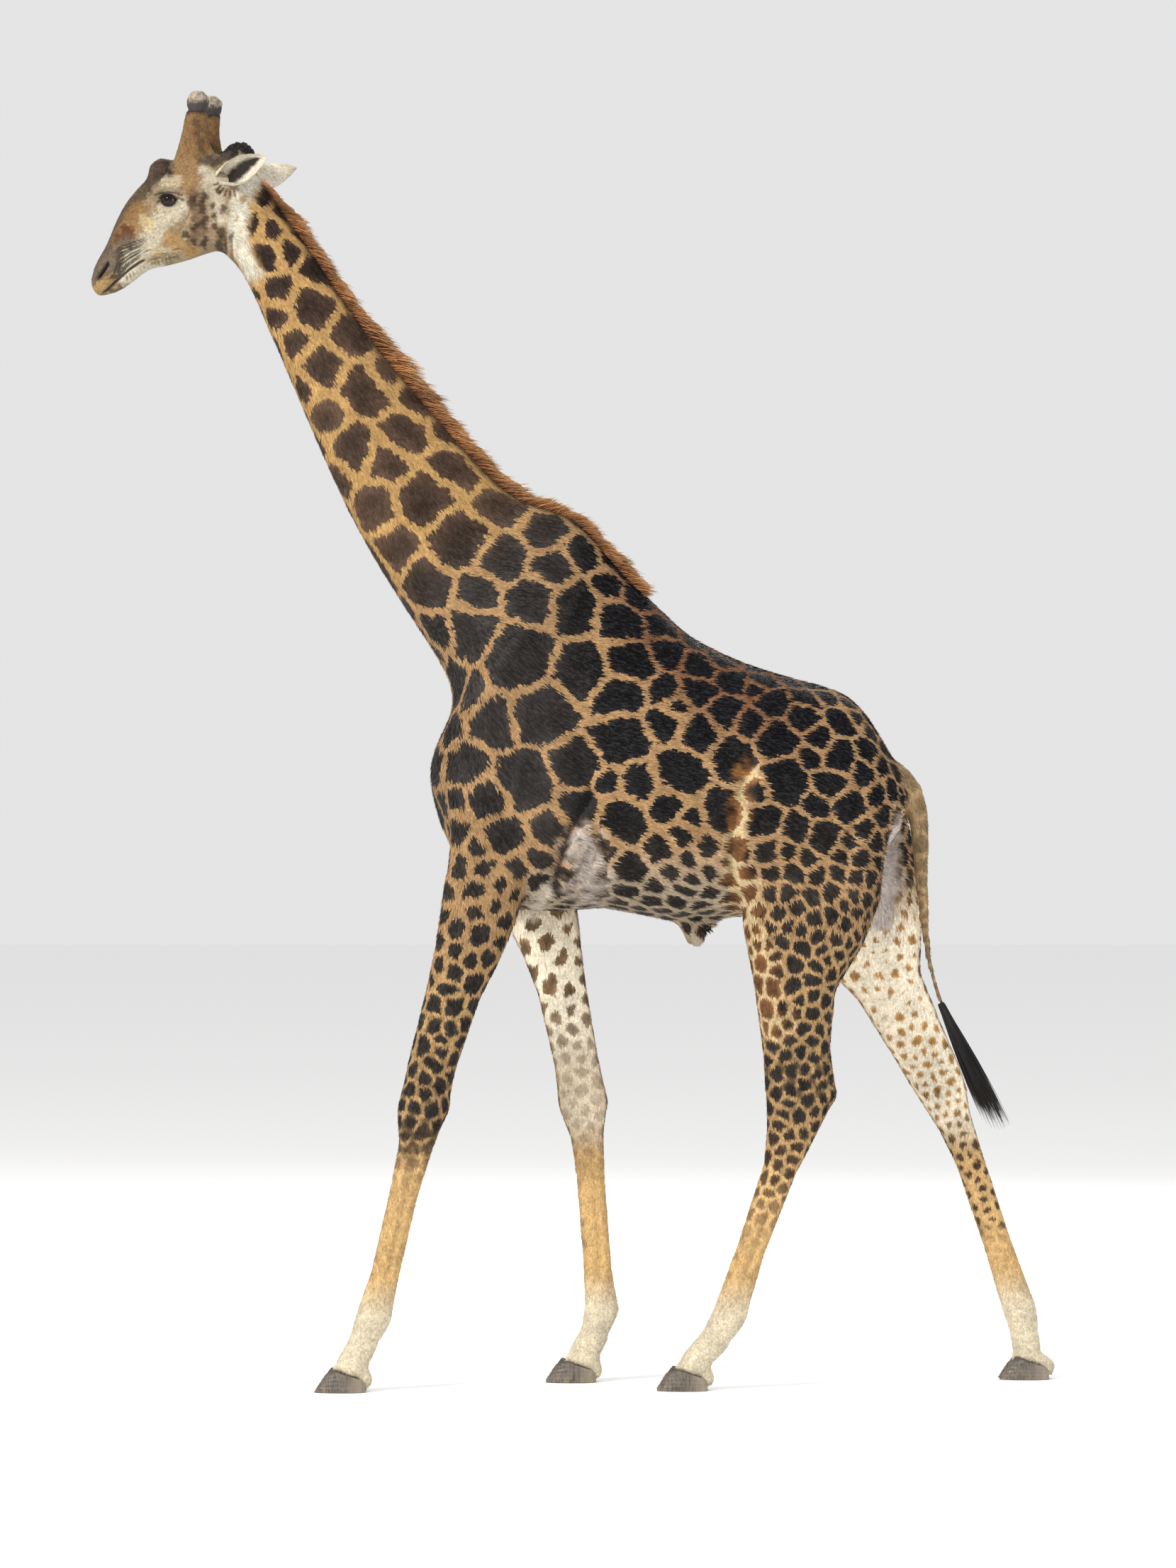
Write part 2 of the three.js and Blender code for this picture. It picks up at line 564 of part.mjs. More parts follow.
[flesh, piece] = part(flesh, NECK_CUT.at, NECK_CUT.toward, WHOLE, [WHOLE, WHOLE]);
keep('trunk', flesh, FINISHES.patched);
const [neck, head] = part(piece, HEAD_CUT.at, HEAD_CUT.toward, WHOLE, [WHOLE, WHOLE]);
keep('neck', neck, FINISHES.patched);
keep('head', head, FINISHES.tan);

// Ears, mane and tail lie on the hide, so they are cut back from a grown copy of it.
const grown = union([fleshOf(CUT), ...LEGS.map((leg) => solid(legLoft(leg, CUT)))]);
const wholeTail = solid(tailLoft()).subtract(grown);
const [dock, tuft] = part(wholeTail, TUFT_CUT.at, TUFT_CUT.toward, WHOLE, [WHOLE, WHOLE]);
keep('tail', dock, FINISHES.tan);
keep('tail_tuft', tuft, FINISHES.black);
for (const side of [LEFT, RIGHT]) {
  keep(`${WORD[side]}_ear`, solid(turnHead(earLoft(side))).subtract(grown), FINISHES.tan);
}
keep('mane', solid(maneLoft()).subtract(grown), FINISHES.rust);

// ---- the scene graph ----
function meshOf({ name, shape, finish }) {
  const made = shape.getMesh();
  const geometry = new THREE.BufferGeometry();
  geometry.setAttribute('position', new THREE.BufferAttribute(made.vertProperties, 3));
  geometry.setIndex(new THREE.BufferAttribute(made.triVerts, 1));
  geometry.computeVertexNormals();
  const material = new THREE.MeshStandardMaterial({ color: finish.colour, roughness: finish.rough });
  const mesh = new THREE.Mesh(geometry, material);
  mesh.name = name;
  return mesh;
}

const giraffe = new THREE.Group();
pieces.forEach((p) => giraffe.add(meshOf(p)));

// The part's origin is on the floor under the middle of its box.
const box = new THREE.Box3().setFromObject(giraffe);
const middle = box.getCenter(new THREE.Vector3());
giraffe.children.forEach((mesh) => mesh.position.set(-middle.x, -middle.y, -box.min.z));

export default giraffe;
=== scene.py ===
import math

import bmesh
import bpy
import numpy as np
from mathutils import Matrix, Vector
from mathutils.bvhtree import BVHTree
from mathutils.kdtree import KDTree


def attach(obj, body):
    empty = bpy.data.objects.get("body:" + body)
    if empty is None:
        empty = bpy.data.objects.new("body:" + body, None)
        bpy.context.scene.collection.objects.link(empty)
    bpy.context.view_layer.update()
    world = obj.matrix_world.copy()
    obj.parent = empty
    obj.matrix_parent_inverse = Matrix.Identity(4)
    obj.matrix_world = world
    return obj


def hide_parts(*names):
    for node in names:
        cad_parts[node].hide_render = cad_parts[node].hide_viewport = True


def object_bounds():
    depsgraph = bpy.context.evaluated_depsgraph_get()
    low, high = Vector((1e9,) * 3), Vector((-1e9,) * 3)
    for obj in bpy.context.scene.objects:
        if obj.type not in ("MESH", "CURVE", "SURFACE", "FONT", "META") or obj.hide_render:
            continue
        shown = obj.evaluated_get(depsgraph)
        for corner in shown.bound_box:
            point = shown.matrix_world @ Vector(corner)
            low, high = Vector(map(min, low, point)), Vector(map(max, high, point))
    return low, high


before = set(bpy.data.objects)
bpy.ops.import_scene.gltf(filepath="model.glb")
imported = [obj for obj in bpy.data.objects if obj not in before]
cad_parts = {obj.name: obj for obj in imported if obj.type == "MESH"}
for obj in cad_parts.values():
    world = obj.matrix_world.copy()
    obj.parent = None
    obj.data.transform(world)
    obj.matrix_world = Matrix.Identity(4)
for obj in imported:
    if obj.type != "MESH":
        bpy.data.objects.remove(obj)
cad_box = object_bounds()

# ---- Studio ----
# The animal stands on a plain pale floor under soft light, seen square on from its left side
# by a long lens held level with its elbow.
CAMERA_PLACE = (0.048, -22.0, 2.146)
LENS_MM, FILM_MM = 141.5, 36
SKY_STRENGTH = 0.78
FLOOR_HALF = 60
FLOOR_WHITE, FLOOR_ROUGH = 0.95, 0.9
MIDDLE = Vector(((cad_box[0].x + cad_box[1].x) / 2, 0, cad_box[1].z / 2))


def in_scene(name, data):
    """A new object at the origin, linked into the scene."""
    made = bpy.data.objects.new(name, data)
    bpy.context.scene.collection.objects.link(made)
    return made


def soft_light(name, place, size, power, tint):
    """A square area light aimed at the middle of the animal."""
    data = bpy.data.lights.new(name, "AREA")
    data.shape = "SQUARE"
    data.size = size
    data.energy = power
    data.color = tint
    light = in_scene(name, data)
    light.location = place
    light.rotation_euler = (MIDDLE - Vector(place)).to_track_quat("-Z", "Y").to_euler()


def new_paint(name):
    """A new material, with its node tree and its main shader."""
    made = bpy.data.materials.new(name)
    made.use_nodes = True
    return made, made.node_tree, made.node_tree.nodes["Principled BSDF"]


def solid_piece(name, vertices, faces):
    """A mesh object standing at the origin, made from places and corner lists."""
    mesh = bpy.data.meshes.new(name)
    mesh.from_pydata([tuple(map(float, v)) for v in vertices], [], [tuple(map(int, f)) for f in faces])
    mesh.update()
    return in_scene(name, mesh)


camera_data = bpy.data.cameras.new("camera")
camera_data.lens = LENS_MM
camera_data.sensor_width = FILM_MM
camera_data.clip_end = 200
camera = in_scene("camera", camera_data)
camera.location = CAMERA_PLACE
camera.rotation_euler = (math.radians(90), 0, 0)
bpy.context.scene.camera = camera
bpy.context.scene.view_settings.view_transform = "Standard"

soft_light("key", (-10.0, -10.0, 12.0), 3.0, 2900, (1.0, 0.97, 0.92))
soft_light("fill", (7.0, -8.0, 4.0), 5.0, 370, (0.95, 0.98, 1.0))
soft_light("back", (2.0, 8.0, 7.5), 5.0, 360, (1.0, 1.0, 1.0))
world = bpy.data.worlds.new("studio")
world.use_nodes = True
world.node_tree.nodes["Background"].inputs["Color"].default_value = (1, 1, 1, 1)
world.node_tree.nodes["Background"].inputs["Strength"].default_value = SKY_STRENGTH
bpy.context.scene.world = world

floor_corners = [(x * FLOOR_HALF, y * FLOOR_HALF, 0) for x, y in ((-1, -1), (1, -1), (1, 1), (-1, 1))]
floor = solid_piece("floor", floor_corners, [(0, 1, 2, 3)])
floor_paint, _, shader = new_paint("floor_paint")
shader.inputs["Base Color"].default_value = (FLOOR_WHITE, FLOOR_WHITE, FLOOR_WHITE, 1)
shader.inputs["Roughness"].default_value = FLOOR_ROUGH
floor.data.materials.append(floor_paint)

# ---- The hide: the form of the body ----
# The hide is one unbroken skin over the muscles, from the lips to the end of the tail, horn shafts
# included. It follows the flesh of the frame, rounded like living tissue, and lies inside it by
# the depth of the coat.
SKIN_STEP = 0.010
BROAD_STEP = 0.022
BELLY_Z = 1.6
FLESH = ["trunk", "neck", "head", "tail", "left_horn", "right_horn"]
FLESH += [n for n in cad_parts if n.endswith(("forearm", "gaskin", "shank"))]


def read(items, field, columns=3, number=np.float64):
    """One row of values for every point, edge or face."""
    flat = np.empty(len(items) * columns, dtype=number)
    items.foreach_get(field, flat)
    return flat.reshape(-1, columns) if columns > 1 else flat


def points_of(mesh):
    return read(mesh.vertices, "co")


def normals_of(mesh):
    return read(mesh.vertex_normals, "vector")


def edges_of(mesh):
    return read(mesh.edges, "vertices", 2, np.int64)


def put_points(mesh, points):
    mesh.vertices.foreach_set("co", np.asarray(points, dtype=np.float32).ravel())
    mesh.update()


def ray_tree(mesh):
    """The faces of a mesh, sorted so that a ray or the nearest place is quickly found."""
    return BVHTree.FromPolygons(points_of(mesh).tolist(), [tuple(f.vertices) for f in mesh.polygons])


def ramp(low, high, value):
    """0 below low, 1 above high, and a soft rise between."""
    t = np.clip((value - low) / (high - low), 0, 1)
    return t * t * (3 - 2 * t)


def relax(values, edges, rounds):
    """Averages each vertex with its neighbours, for places or for any other value."""
    values = np.array(values, dtype=float)
    columns = values.reshape(len(values), -1)
    count = np.bincount(edges.ravel(), minlength=len(values))[:, None].clip(1)
    for _ in range(rounds):
        total = np.empty_like(columns)
        for c in range(columns.shape[1]):
            total[:, c] = np.bincount(edges[:, 0], columns[edges[:, 1], c], len(values))
            total[:, c] += np.bincount(edges[:, 1], columns[edges[:, 0], c], len(values))
        columns += 0.5 * (total / count - columns)
    return columns.reshape(values.shape)


def round_off(mesh, rounds, spread, where=1.0):
    """Rounds the facets, then gives back the girth that rounding takes away."""
    edges = edges_of(mesh)
    before = points_of(mesh)
    where = np.broadcast_to(np.asarray(where, dtype=float), len(before))[:, None]
    put_points(mesh, before + (relax(before, edges, rounds) - before) * where)
    after, out = points_of(mesh), normals_of(mesh)
    lost = relax(((before - after) * out).sum(1), edges, spread)
    put_points(mesh, after + lost[:, None] * out * where)


def result_of(piece):
    """The mesh that a piece's modifiers make."""
    return bpy.data.meshes.new_from_object(piece.evaluated_get(bpy.context.evaluated_depsgraph_get()))


def one_skin(name, nodes, step):
    """One closed skin round one or more solids of the frame."""
    joined = bmesh.new()
    for solid in nodes:
        joined.from_mesh(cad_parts[solid].data)
    bmesh.ops.remove_doubles(joined, verts=joined.verts, dist=1e-5)
    mesh = bpy.data.meshes.new(name)
    joined.to_mesh(mesh)
    joined.free()
    piece = in_scene(name, mesh)
    shell = piece.modifiers.new("shell", "REMESH")
    shell.mode = "VOXEL"
    shell.voxel_size = step
    made = result_of(piece)
    bpy.data.objects.remove(piece)
    return made


skin = one_skin("hide", FLESH + ["left_eye", "right_eye"], SKIN_STEP)
round_off(skin, 12, 30)
broad = one_skin("broad", FLESH, BROAD_STEP)
round_off(broad, 22, 60)

# The barrel and the neck take the broad form. Legs, head and tail keep the close one.
p = points_of(skin)
share = ramp(BELLY_Z - 0.06, BELLY_Z + 0.3, p[:, 2])
share *= ramp(0.05, 0.25, (p[:, 0] + 1.215) * 0.65 + (4.26 - p[:, 2]) * 0.75)
share *= 1 - ramp(1.09, 1.15, p[:, 0])
tree = ray_tree(broad)
for i in np.nonzero(share > 0.001)[0]:
    p[i] += (np.array(tree.find_nearest(p[i])[0]) - p[i]) * share[i]
put_points(skin, p)
round_off(skin, 3, 10)

# ---- The hide: muscles and folds of the trunk and neck ----
# Under the skin lie shoulder blade, arm muscle, ribs, point of the hip and thigh, and loose skin folds behind
# the elbow and before the thigh. Each is a line on the side of the animal, as (x, z), that swells or presses
# in the near side, the far side or both.


def off_line(p, line):
    """Distance of each point from a line drawn in (x, z), and how far along it the point lies, 0 to 1."""
    flat = p[:, [0, 2]]
    line = np.array(line, dtype=float)
    legs = np.linalg.norm(np.diff(line, axis=0), axis=1)
    best = np.full(len(p), 1e9)
    along = np.zeros(len(p))
    for k, leg in enumerate(legs):
        way = (line[k + 1] - line[k]) / leg
        t = np.clip((flat - line[k]) @ way, 0, leg)
        gap = np.linalg.norm(flat - line[k] - t[:, None] * way, axis=1)
        closer = gap < best
        best[closer] = gap[closer]
        along[closer] = ((legs[:k].sum() + t) / legs.sum())[closer]
    return best, along


def swell(p, line, width, height, fade=0.25):
    """A soft ridge (or, with a negative height, a groove) along a line, dying out at its ends."""
    gap, along = off_line(p, line)
    ends = ramp(0, fade, along) * ramp(0, fade, 1 - along)
    return height * np.exp(-(gap / width) ** 2) * ends


def fold(p, line, width, depth, fade=0.15):
    """A crease with a rolled lip on each side of it."""
    gap, along = off_line(p, line)
    ends = ramp(0, fade, along) * ramp(0, fade, 1 - along)
    lips = 0.3 * np.exp(-((gap - 2.4 * width) / (1.3 * width)) ** 2)
    return depth * (lips - np.exp(-(gap / width) ** 2)) * ends


p, out = points_of(skin), normals_of(skin)
flank = ramp(0.25, 0.7, np.abs(out[:, 1]))
near = flank * (p[:, 1] < 0)
far = flank * (p[:, 1] > 0)
both = ramp(0.15, 0.6, np.abs(out[:, 1]))
push = np.zeros(len(p))
RIBS = 9
ribs = [(both, swell, [(x - 0.05, 2.45), (x, 2.2), (x + 0.02, 1.95)], 0.022, 0.0016 + 0.0008 * (k % 3), 0.45)
        for k, x in enumerate(0.16 + 0.062 * np.arange(RIBS))]
strokes = [
    # shoulder blade, its spine, and the hollows before and behind it
    (near, swell, [(-0.03, 2.92), (-0.18, 2.66), (-0.33, 2.41), (-0.44, 2.23)], 0.07, 0.015),
    (near, swell, [(-0.18, 3.02), (-0.33, 2.76), (-0.43, 2.52)], 0.05, -0.011),
    (near, swell, [(0.09, 2.85), (0.01, 2.60), (-0.02, 2.38), (0.04, 2.22)], 0.055, -0.013),
    (near, swell, [(0.05, 2.87), (0.00, 2.79), (-0.04, 2.69)], 0.016, 0.006),
    (near, swell, [(-0.22, 2.67), (-0.26, 2.61), (-0.29, 2.56)], 0.012, -0.006),
    # the mass of the upper arm and the long muscle behind it
    (near, swell, [(-0.43, 2.25), (-0.37, 2.05), (-0.28, 1.88)], 0.085, 0.013),
    (near, swell, [(-0.02, 2.42), (-0.06, 2.22), (-0.10, 2.03), (-0.15, 1.84)], 0.055, 0.017),
    (near, swell, [(-0.20, 2.32), (-0.25, 2.10), (-0.27, 1.93)], 0.03, -0.009),
    # the deep fold behind the elbow and the loose skin of the armpit
    (near, fold, [(0.00, 2.29), (0.06, 2.11), (0.01, 2.03), (-0.03, 1.96), (-0.06, 1.86),
                  (-0.09, 1.76), (-0.10, 1.68)], 0.024, 0.024, 0.3),
    (near, fold, [(0.03, 2.07), (0.08, 1.99), (0.11, 1.90), (0.10, 1.80)], 0.012, 0.009),
    (near, fold, [(-0.01, 1.93), (0.02, 1.84), (-0.02, 1.74)], 0.010, 0.007),
    (near, fold, [(0.06, 1.92), (0.04, 1.82), (0.00, 1.73)], 0.009, 0.006),
    (near, fold, [(-0.07, 1.74), (0.02, 1.735), (0.12, 1.73)], 0.010, 0.008),
    (near, swell, [(0.03, 2.02), (0.03, 1.88), (0.00, 1.76)], 0.05, -0.014),
    # the same on the other side, where the leg stands further back
    (far, swell, [(-0.10, 2.80), (-0.18, 2.45), (-0.28, 2.15)], 0.075, 0.016),
    (far, swell, [(-0.06, 2.28), (-0.02, 2.08), (-0.02, 1.90), (0.02, 1.78)], 0.055, 0.016),
    (far, fold, [(0.06, 2.24), (0.10, 2.08), (0.13, 1.92), (0.14, 1.78), (0.12, 1.68)], 0.024, 0.02, 0.3),
    (far, swell, [(-0.40, 2.18), (-0.30, 2.02), (-0.20, 1.88)], 0.085, 0.014),
    # the neck: the long groove of the windpipe and the strap muscles that run from the head to the breast
    (both, swell, [(-1.22, 3.86), (-1.06, 3.45), (-0.86, 2.98), (-0.66, 2.62)], 0.035, -0.007),
    (both, swell, [(-1.13, 3.93), (-0.95, 3.50), (-0.72, 3.02), (-0.50, 2.62)], 0.06, 0.006),
    (both, swell, [(-1.05, 4.05), (-0.78, 3.56), (-0.50, 3.12), (-0.30, 2.90)], 0.04, -0.006),
    (both, swell, [(-0.66, 2.62), (-0.60, 2.42), (-0.63, 2.24)], 0.05, -0.012),
    # ribs, flank and the point of the hip
    *ribs,
    (both, swell, [(0.50, 2.42), (0.56, 2.25), (0.58, 2.08)], 0.07, -0.012),
    (both, swell, [(0.70, 2.50), (0.78, 2.44), (0.86, 2.42)], 0.045, 0.012),
    # the fold of skin before the thigh, the front of the thigh, and the muscles behind it
    (near, fold, [(0.63, 2.33), (0.62, 2.22), (0.585, 2.10), (0.555, 1.98), (0.55, 1.86),
                  (0.575, 1.74)], 0.022, 0.020, 0.3),
    (far, fold, [(0.70, 2.30), (0.70, 2.16), (0.69, 2.02), (0.70, 1.88), (0.74, 1.74)], 0.022, 0.016, 0.3),
    (near, swell, [(0.72, 2.30), (0.66, 2.08), (0.66, 1.84), (0.70, 1.66)], 0.07, 0.014),
    (near, swell, [(1.02, 2.22), (0.98, 1.98), (0.92, 1.74)], 0.022, -0.008),
    (near, swell, [(0.90, 2.18), (0.90, 1.95), (0.86, 1.72)], 0.018, -0.005),
    (far, swell, [(0.86, 2.28), (0.90, 2.04), (0.98, 1.80)], 0.08, 0.014),
    (far, swell, [(1.06, 2.18), (1.12, 1.98), (1.16, 1.78)], 0.022, -0.008),
]
for side, press, line, *size in strokes:
    push += side * press(p, line, *size)
p += push[:, None] * out
put_points(skin, p)

# ---- The hide: joints and tendons of the legs ----
# Below the elbow and the stifle the skin lies close on bone and tendon. Each leg is read level by level,
# front to back, so that grooves and knobs follow its lean.
LEG_PARTING_X = 0.2
LEG_LEVEL = 0.02
LEG_NAMES = {"left_fore": (-1, -1), "right_fore": (1, -1), "left_hind": (-1, 1), "right_hind": (1, 1)}

p, out = points_of(skin), normals_of(skin)
leg_of = {}
for name, (side, end) in LEG_NAMES.items():
    part_of = (p[:, 2] < BELLY_Z) & (p[:, 1] * side > 0.05) & ((p[:, 0] - LEG_PARTING_X) * end > 0)
    leg_of[name] = np.nonzero(part_of)[0]


def across_leg(index):
    """How far back (0 front to 1 back) and how far out of the middle (-1 to 1) each point of a leg lies."""
    level = (p[index, 2] / LEG_LEVEL).astype(int)
    levels = level.max() + 1
    place = np.zeros((len(index), 2))
    for axis in (0, 1):
        low = np.full(levels, 1e9)
        high = np.full(levels, -1e9)
        np.minimum.at(low, level, p[index, axis])
        np.maximum.at(high, level, p[index, axis])
        heights = (np.arange(levels) + 0.5) * LEG_LEVEL
        smooth_low = np.convolve(np.pad(low, 2, mode="edge"), np.ones(5) / 5, "valid")
        smooth_high = np.convolve(np.pad(high, 2, mode="edge"), np.ones(5) / 5, "valid")
        low_here = np.interp(p[index, 2], heights, smooth_low)
        high_here = np.interp(p[index, 2], heights, smooth_high)
        place[:, axis] = (p[index, axis] - low_here) / (high_here - low_here).clip(0.01)
    return place[:, 0], place[:, 1] * 2 - 1


def bump(value, middle, width):
    return np.exp(-((value - middle) / width) ** 2)


back_of = np.full(len(p), 0.5)
for name, index in leg_of.items():
    back, aside = across_leg(index)
    back_of[index] = back
    z = p[index, 2]
    outward = ramp(0.3, 0.8, np.abs(out[index, 1]))
    push = np.zeros(len(index))
    if name.endswith("fore"):
        # knee: a flat box of small bones with a pea-shaped bone behind
        push += 0.008 * bump(back, 0.12, 0.22) * bump(z, 0.97, 0.07)
        push -= 0.006 * outward * bump(back, 0.35, 0.10) * bump(z, 1.06, 0.03)
        push -= 0.005 * outward * bump(back, 0.40, 0.10) * bump(z, 0.88, 0.03)
        push += 0.009 * bump(back, 0.90, 0.16) * bump(z, 1.00, 0.04)
        push -= 0.007 * outward * bump(back, 0.62, 0.09) * ramp(0.34, 0.44, z) * ramp(0.92, 0.82, z)
        push -= 0.006 * outward * bump(back, 0.46, 0.07) * ramp(1.10, 1.18, z) * ramp(1.55, 1.42, z)
        push -= 0.005 * outward * bump(back, 0.70, 0.06) * ramp(1.12, 1.20, z) * ramp(1.50, 1.38, z)
    else:
        # hock: the tendon above the heel bone stands clear of the shin, with a hollow between
        push -= 0.014 * outward * bump(back, 0.62, 0.11) * bump(z, 1.19, 0.09)
        push += 0.007 * bump(back, 0.95, 0.14) * bump(z, 1.05, 0.035)
        push += 0.006 * outward * bump(back, 0.35, 0.14) * bump(z, 1.02, 0.045)
        push -= 0.005 * outward * bump(back, 0.40, 0.12) * bump(z, 0.93, 0.03)
        push -= 0.007 * outward * bump(back, 0.62, 0.09) * ramp(0.34, 0.44, z) * ramp(0.92, 0.82, z)
        push -= 0.006 * outward * bump(back, 0.40, 0.07) * ramp(1.22, 1.32, z) * ramp(1.62, 1.50, z)
    # fetlock: two small bones behind, and a crease above the hoof
    push += 0.007 * bump(back, 0.85, 0.18) * bump(z, 0.25, 0.04)
    push += 0.004 * outward * bump(back, 0.45, 0.18) * bump(z, 0.23, 0.03)
    push -= 0.004 * bump(z, 0.175, 0.012) * ramp(0.3, 0.6, back)
    push -= 0.003 * bump(z, 0.105, 0.010)
    p[index] += push[:, None] * out[index]
put_points(skin, p)

# ---- The hide: the head ----
# Thin skin over bone: heavy lids, a ridge along the cheek, slit nostrils, a long loose upper lip, and fine
# wrinkles from nose to mouth, in a skin with up to eight times as many points to a length as the body's.
# Lines are (x, z) as the left side shows them, and the right side mirrors them about the skull.
POLL_X = -1.215
HEAD_TURN = math.radians(13)
EYE_MIDDLE = np.array([-0.209, 0.097, 4.226])
EYE_RADIUS = 0.031
LID_ABOVE, LID_BELOW, LID_HALF, LID_TILT = 0.0125, 0.0195, 0.0295, 0.12
LID_THICK_ABOVE, LID_THICK_BELOW = 0.0078, 0.0044
TURN_COS, TURN_SIN = math.cos(HEAD_TURN), math.sin(HEAD_TURN)


def straight_head(p):
    """Places on the head as if it looked straight ahead, measured from the poll."""
    x, y = p[:, 0] - POLL_X, p[:, 1]
    return np.column_stack([x * TURN_COS - y * TURN_SIN, x * TURN_SIN + y * TURN_COS, p[:, 2]])


def turned_head(p):
    x, y = p[:, 0], p[:, 1]
    return np.column_stack([POLL_X + x * TURN_COS + y * TURN_SIN, y * TURN_COS - x * TURN_SIN, p[:, 2]])


def from_the_left(p):
    """Places on either side of the head, as the left side shows them."""
    near = straight_head(p)
    near[:, 1] = -np.abs(near[:, 1])
    return turned_head(near)


def head_share(p):
    """1 on the head, 0 past the throat and the poll."""
    s = straight_head(p)
    return ramp(0.09, 0.02, s[:, 0] + (4.2 - s[:, 2]) * 0.25) * ramp(3.84, 3.88, s[:, 2])


def face_middles(mesh):
    return read(mesh.polygons, "center")


def keep(mesh, name, kind, values, domain="POINT"):
    """Stores a value with every point or face of a mesh."""
    field = {"FLOAT_VECTOR": "vector", "FLOAT_COLOR": "color"}.get(kind, "value")
    number = np.int32 if kind == "INT" else np.float32
    made = mesh.attributes.new(name, kind, domain)
    made.data.foreach_set(field, np.asarray(values, dtype=number).ravel())


def from_eye(q):
    """Distance from the middle of the eye, as the left side shows it."""
    return np.hypot(q[:, 0] + 1.441, q[:, 2] - 4.225)


def finer(mesh, chosen):
    """Splits the chosen faces in four."""
    b = bmesh.new()
    b.from_mesh(mesh)
    b.faces.ensure_lookup_table()
    edges = {e for i in np.nonzero(chosen)[0] for e in b.faces[i].edges}
    bmesh.ops.subdivide_edges(b, edges=list(edges), cuts=1, use_grid_fill=True)
    b.to_mesh(mesh)
    b.free()
    mesh.update()


def detail_zone(p):
    """The eyes, nostrils and lips."""
    q = from_the_left(p)
    zone = from_eye(q) < 0.062
    zone |= (q[:, 0] < -1.60) & (q[:, 2] < 4.06)
    gap, _ = off_line(q, [(-1.68, 3.93), (-1.55, 4.03)])
    return (zone | (gap < 0.03)) & (head_share(p) > 0.5)


finer(skin, head_share(face_middles(skin)) > 0.5)
round_off(skin, 4, 12, head_share(points_of(skin)))
finer(skin, detail_zone(face_middles(skin)))
round_off(skin, 3, 8, head_share(points_of(skin)))
finer(skin, from_eye(from_the_left(face_middles(skin))) < 0.046)
round_off(skin, 2, 6, head_share(points_of(skin)))

p, out = points_of(skin), normals_of(skin)
q = from_the_left(p)
on_head = head_share(p)
side = ramp(0.1, 0.5, np.abs(straight_head(out + [POLL_X, 0, 0])[:, 1])) * on_head
push = np.zeros(len(p))
crease = np.zeros(len(p))


def mould(line, width, height, fade=0.25, where=side):
    """A ridge or hollow of the bone and flesh."""
    global push
    push += where * swell(q, line, width, height, fade)


def wrinkle(line, width, depth, fade=0.3, dark=1.0):
    """A fine fold of the face, which also gathers shade and dust."""
    global crease
    mould(line, width, -depth, fade)
    crease = np.maximum(crease, dark * side * swell(q, line, width * 0.8, 1.0, fade))


# the bony rim over the eye, the hollow above it, and the ridge down the face to the muzzle
mould([(-1.505, 4.245), (-1.47, 4.272), (-1.43, 4.278), (-1.385, 4.262)], 0.014, 0.009, 0.2)
mould([(-1.46, 4.31), (-1.40, 4.315), (-1.36, 4.30)], 0.022, -0.006)
mould([(-1.39, 4.17), (-1.45, 4.155), (-1.52, 4.12), (-1.58, 4.075)], 0.020, 0.007)
mould([(-1.50, 4.20), (-1.55, 4.15), (-1.60, 4.09)], 0.024, -0.008)
mould([(-1.55, 4.16), (-1.545, 4.12), (-1.515, 4.10)], 0.006, -0.003)
# the round chewing muscle, its front edge, and the line of the jaw
mould([(-1.32, 4.16), (-1.34, 4.10), (-1.37, 4.06)], 0.05, 0.010)
mould([(-1.375, 4.19), (-1.39, 4.14), (-1.42, 4.08)], 0.010, -0.005)
for d in (0, 0.008, 0.019):
    wrinkle([(-1.385 + d, 4.198), (-1.394 + d, 4.165), (-1.418 + d, 4.130)], 0.0035, 0.003, 0.45, 0.35)
mould([(-1.25, 4.06), (-1.33, 4.02), (-1.42, 3.995), (-1.50, 4.00)], 0.014, 0.006)
mould([(-1.28, 4.10), (-1.36, 4.045), (-1.44, 4.02), (-1.52, 4.03)], 0.012, -0.006)
mould([(-1.30, 4.30), (-1.29, 4.24), (-1.27, 4.18), (-1.26, 4.10)], 0.02, -0.008)
# wrinkles down the side of the nose, sweeping round above the lip
for k, d in enumerate((0, 0.008, 0.019, 0.027, 0.041, 0.050, 0.064, 0.072)):
    end = 0.006 * math.sin(5 * k)
    line = [(-1.515 - 0.3 * d - end, 4.104 - 0.9 * d), (-1.545 - 0.2 * d, 4.088 - 0.9 * d),
            (-1.58 - 0.1 * d, 4.078 - 1.0 * d + 0.4 * end), (-1.625, 4.066 - 1.3 * d),
            (-1.658 + 0.4 * d, 4.03 - 1.3 * d)]
    wrinkle(line, 0.0030 + 0.0005 * (k % 3), 0.0042 + 0.0012 * math.sin(3 * k))
for k, d in enumerate((0, 0.006, 0.015, 0.022, 0.033, 0.041)):
    line = [(-1.630 + d, 4.030), (-1.638 + d, 4.00), (-1.650 + 0.8 * d, 3.965), (-1.678 + 0.4 * d, 3.945)]
    wrinkle(line, 0.0028, 0.0034 + 0.0010 * math.sin(4 * k))
# short creases round the corner of the mouth and along the cheek
for x0, z0, x1, z1 in ((-1.555, 4.035, -1.49, 4.052), (-1.53, 4.012, -1.46, 4.020),
                       (-1.60, 4.012, -1.545, 4.040), (-1.50, 4.035, -1.43, 4.028),
                       (-1.47, 4.010, -1.40, 4.022), (-1.45, 4.045, -1.38, 4.050)):
    wrinkle([(x0, z0), ((x0 + x1) / 2, (z0 + z1) / 2 + 0.005), (x1, z1)], 0.0030, 0.0036, 0.45, 0.55)
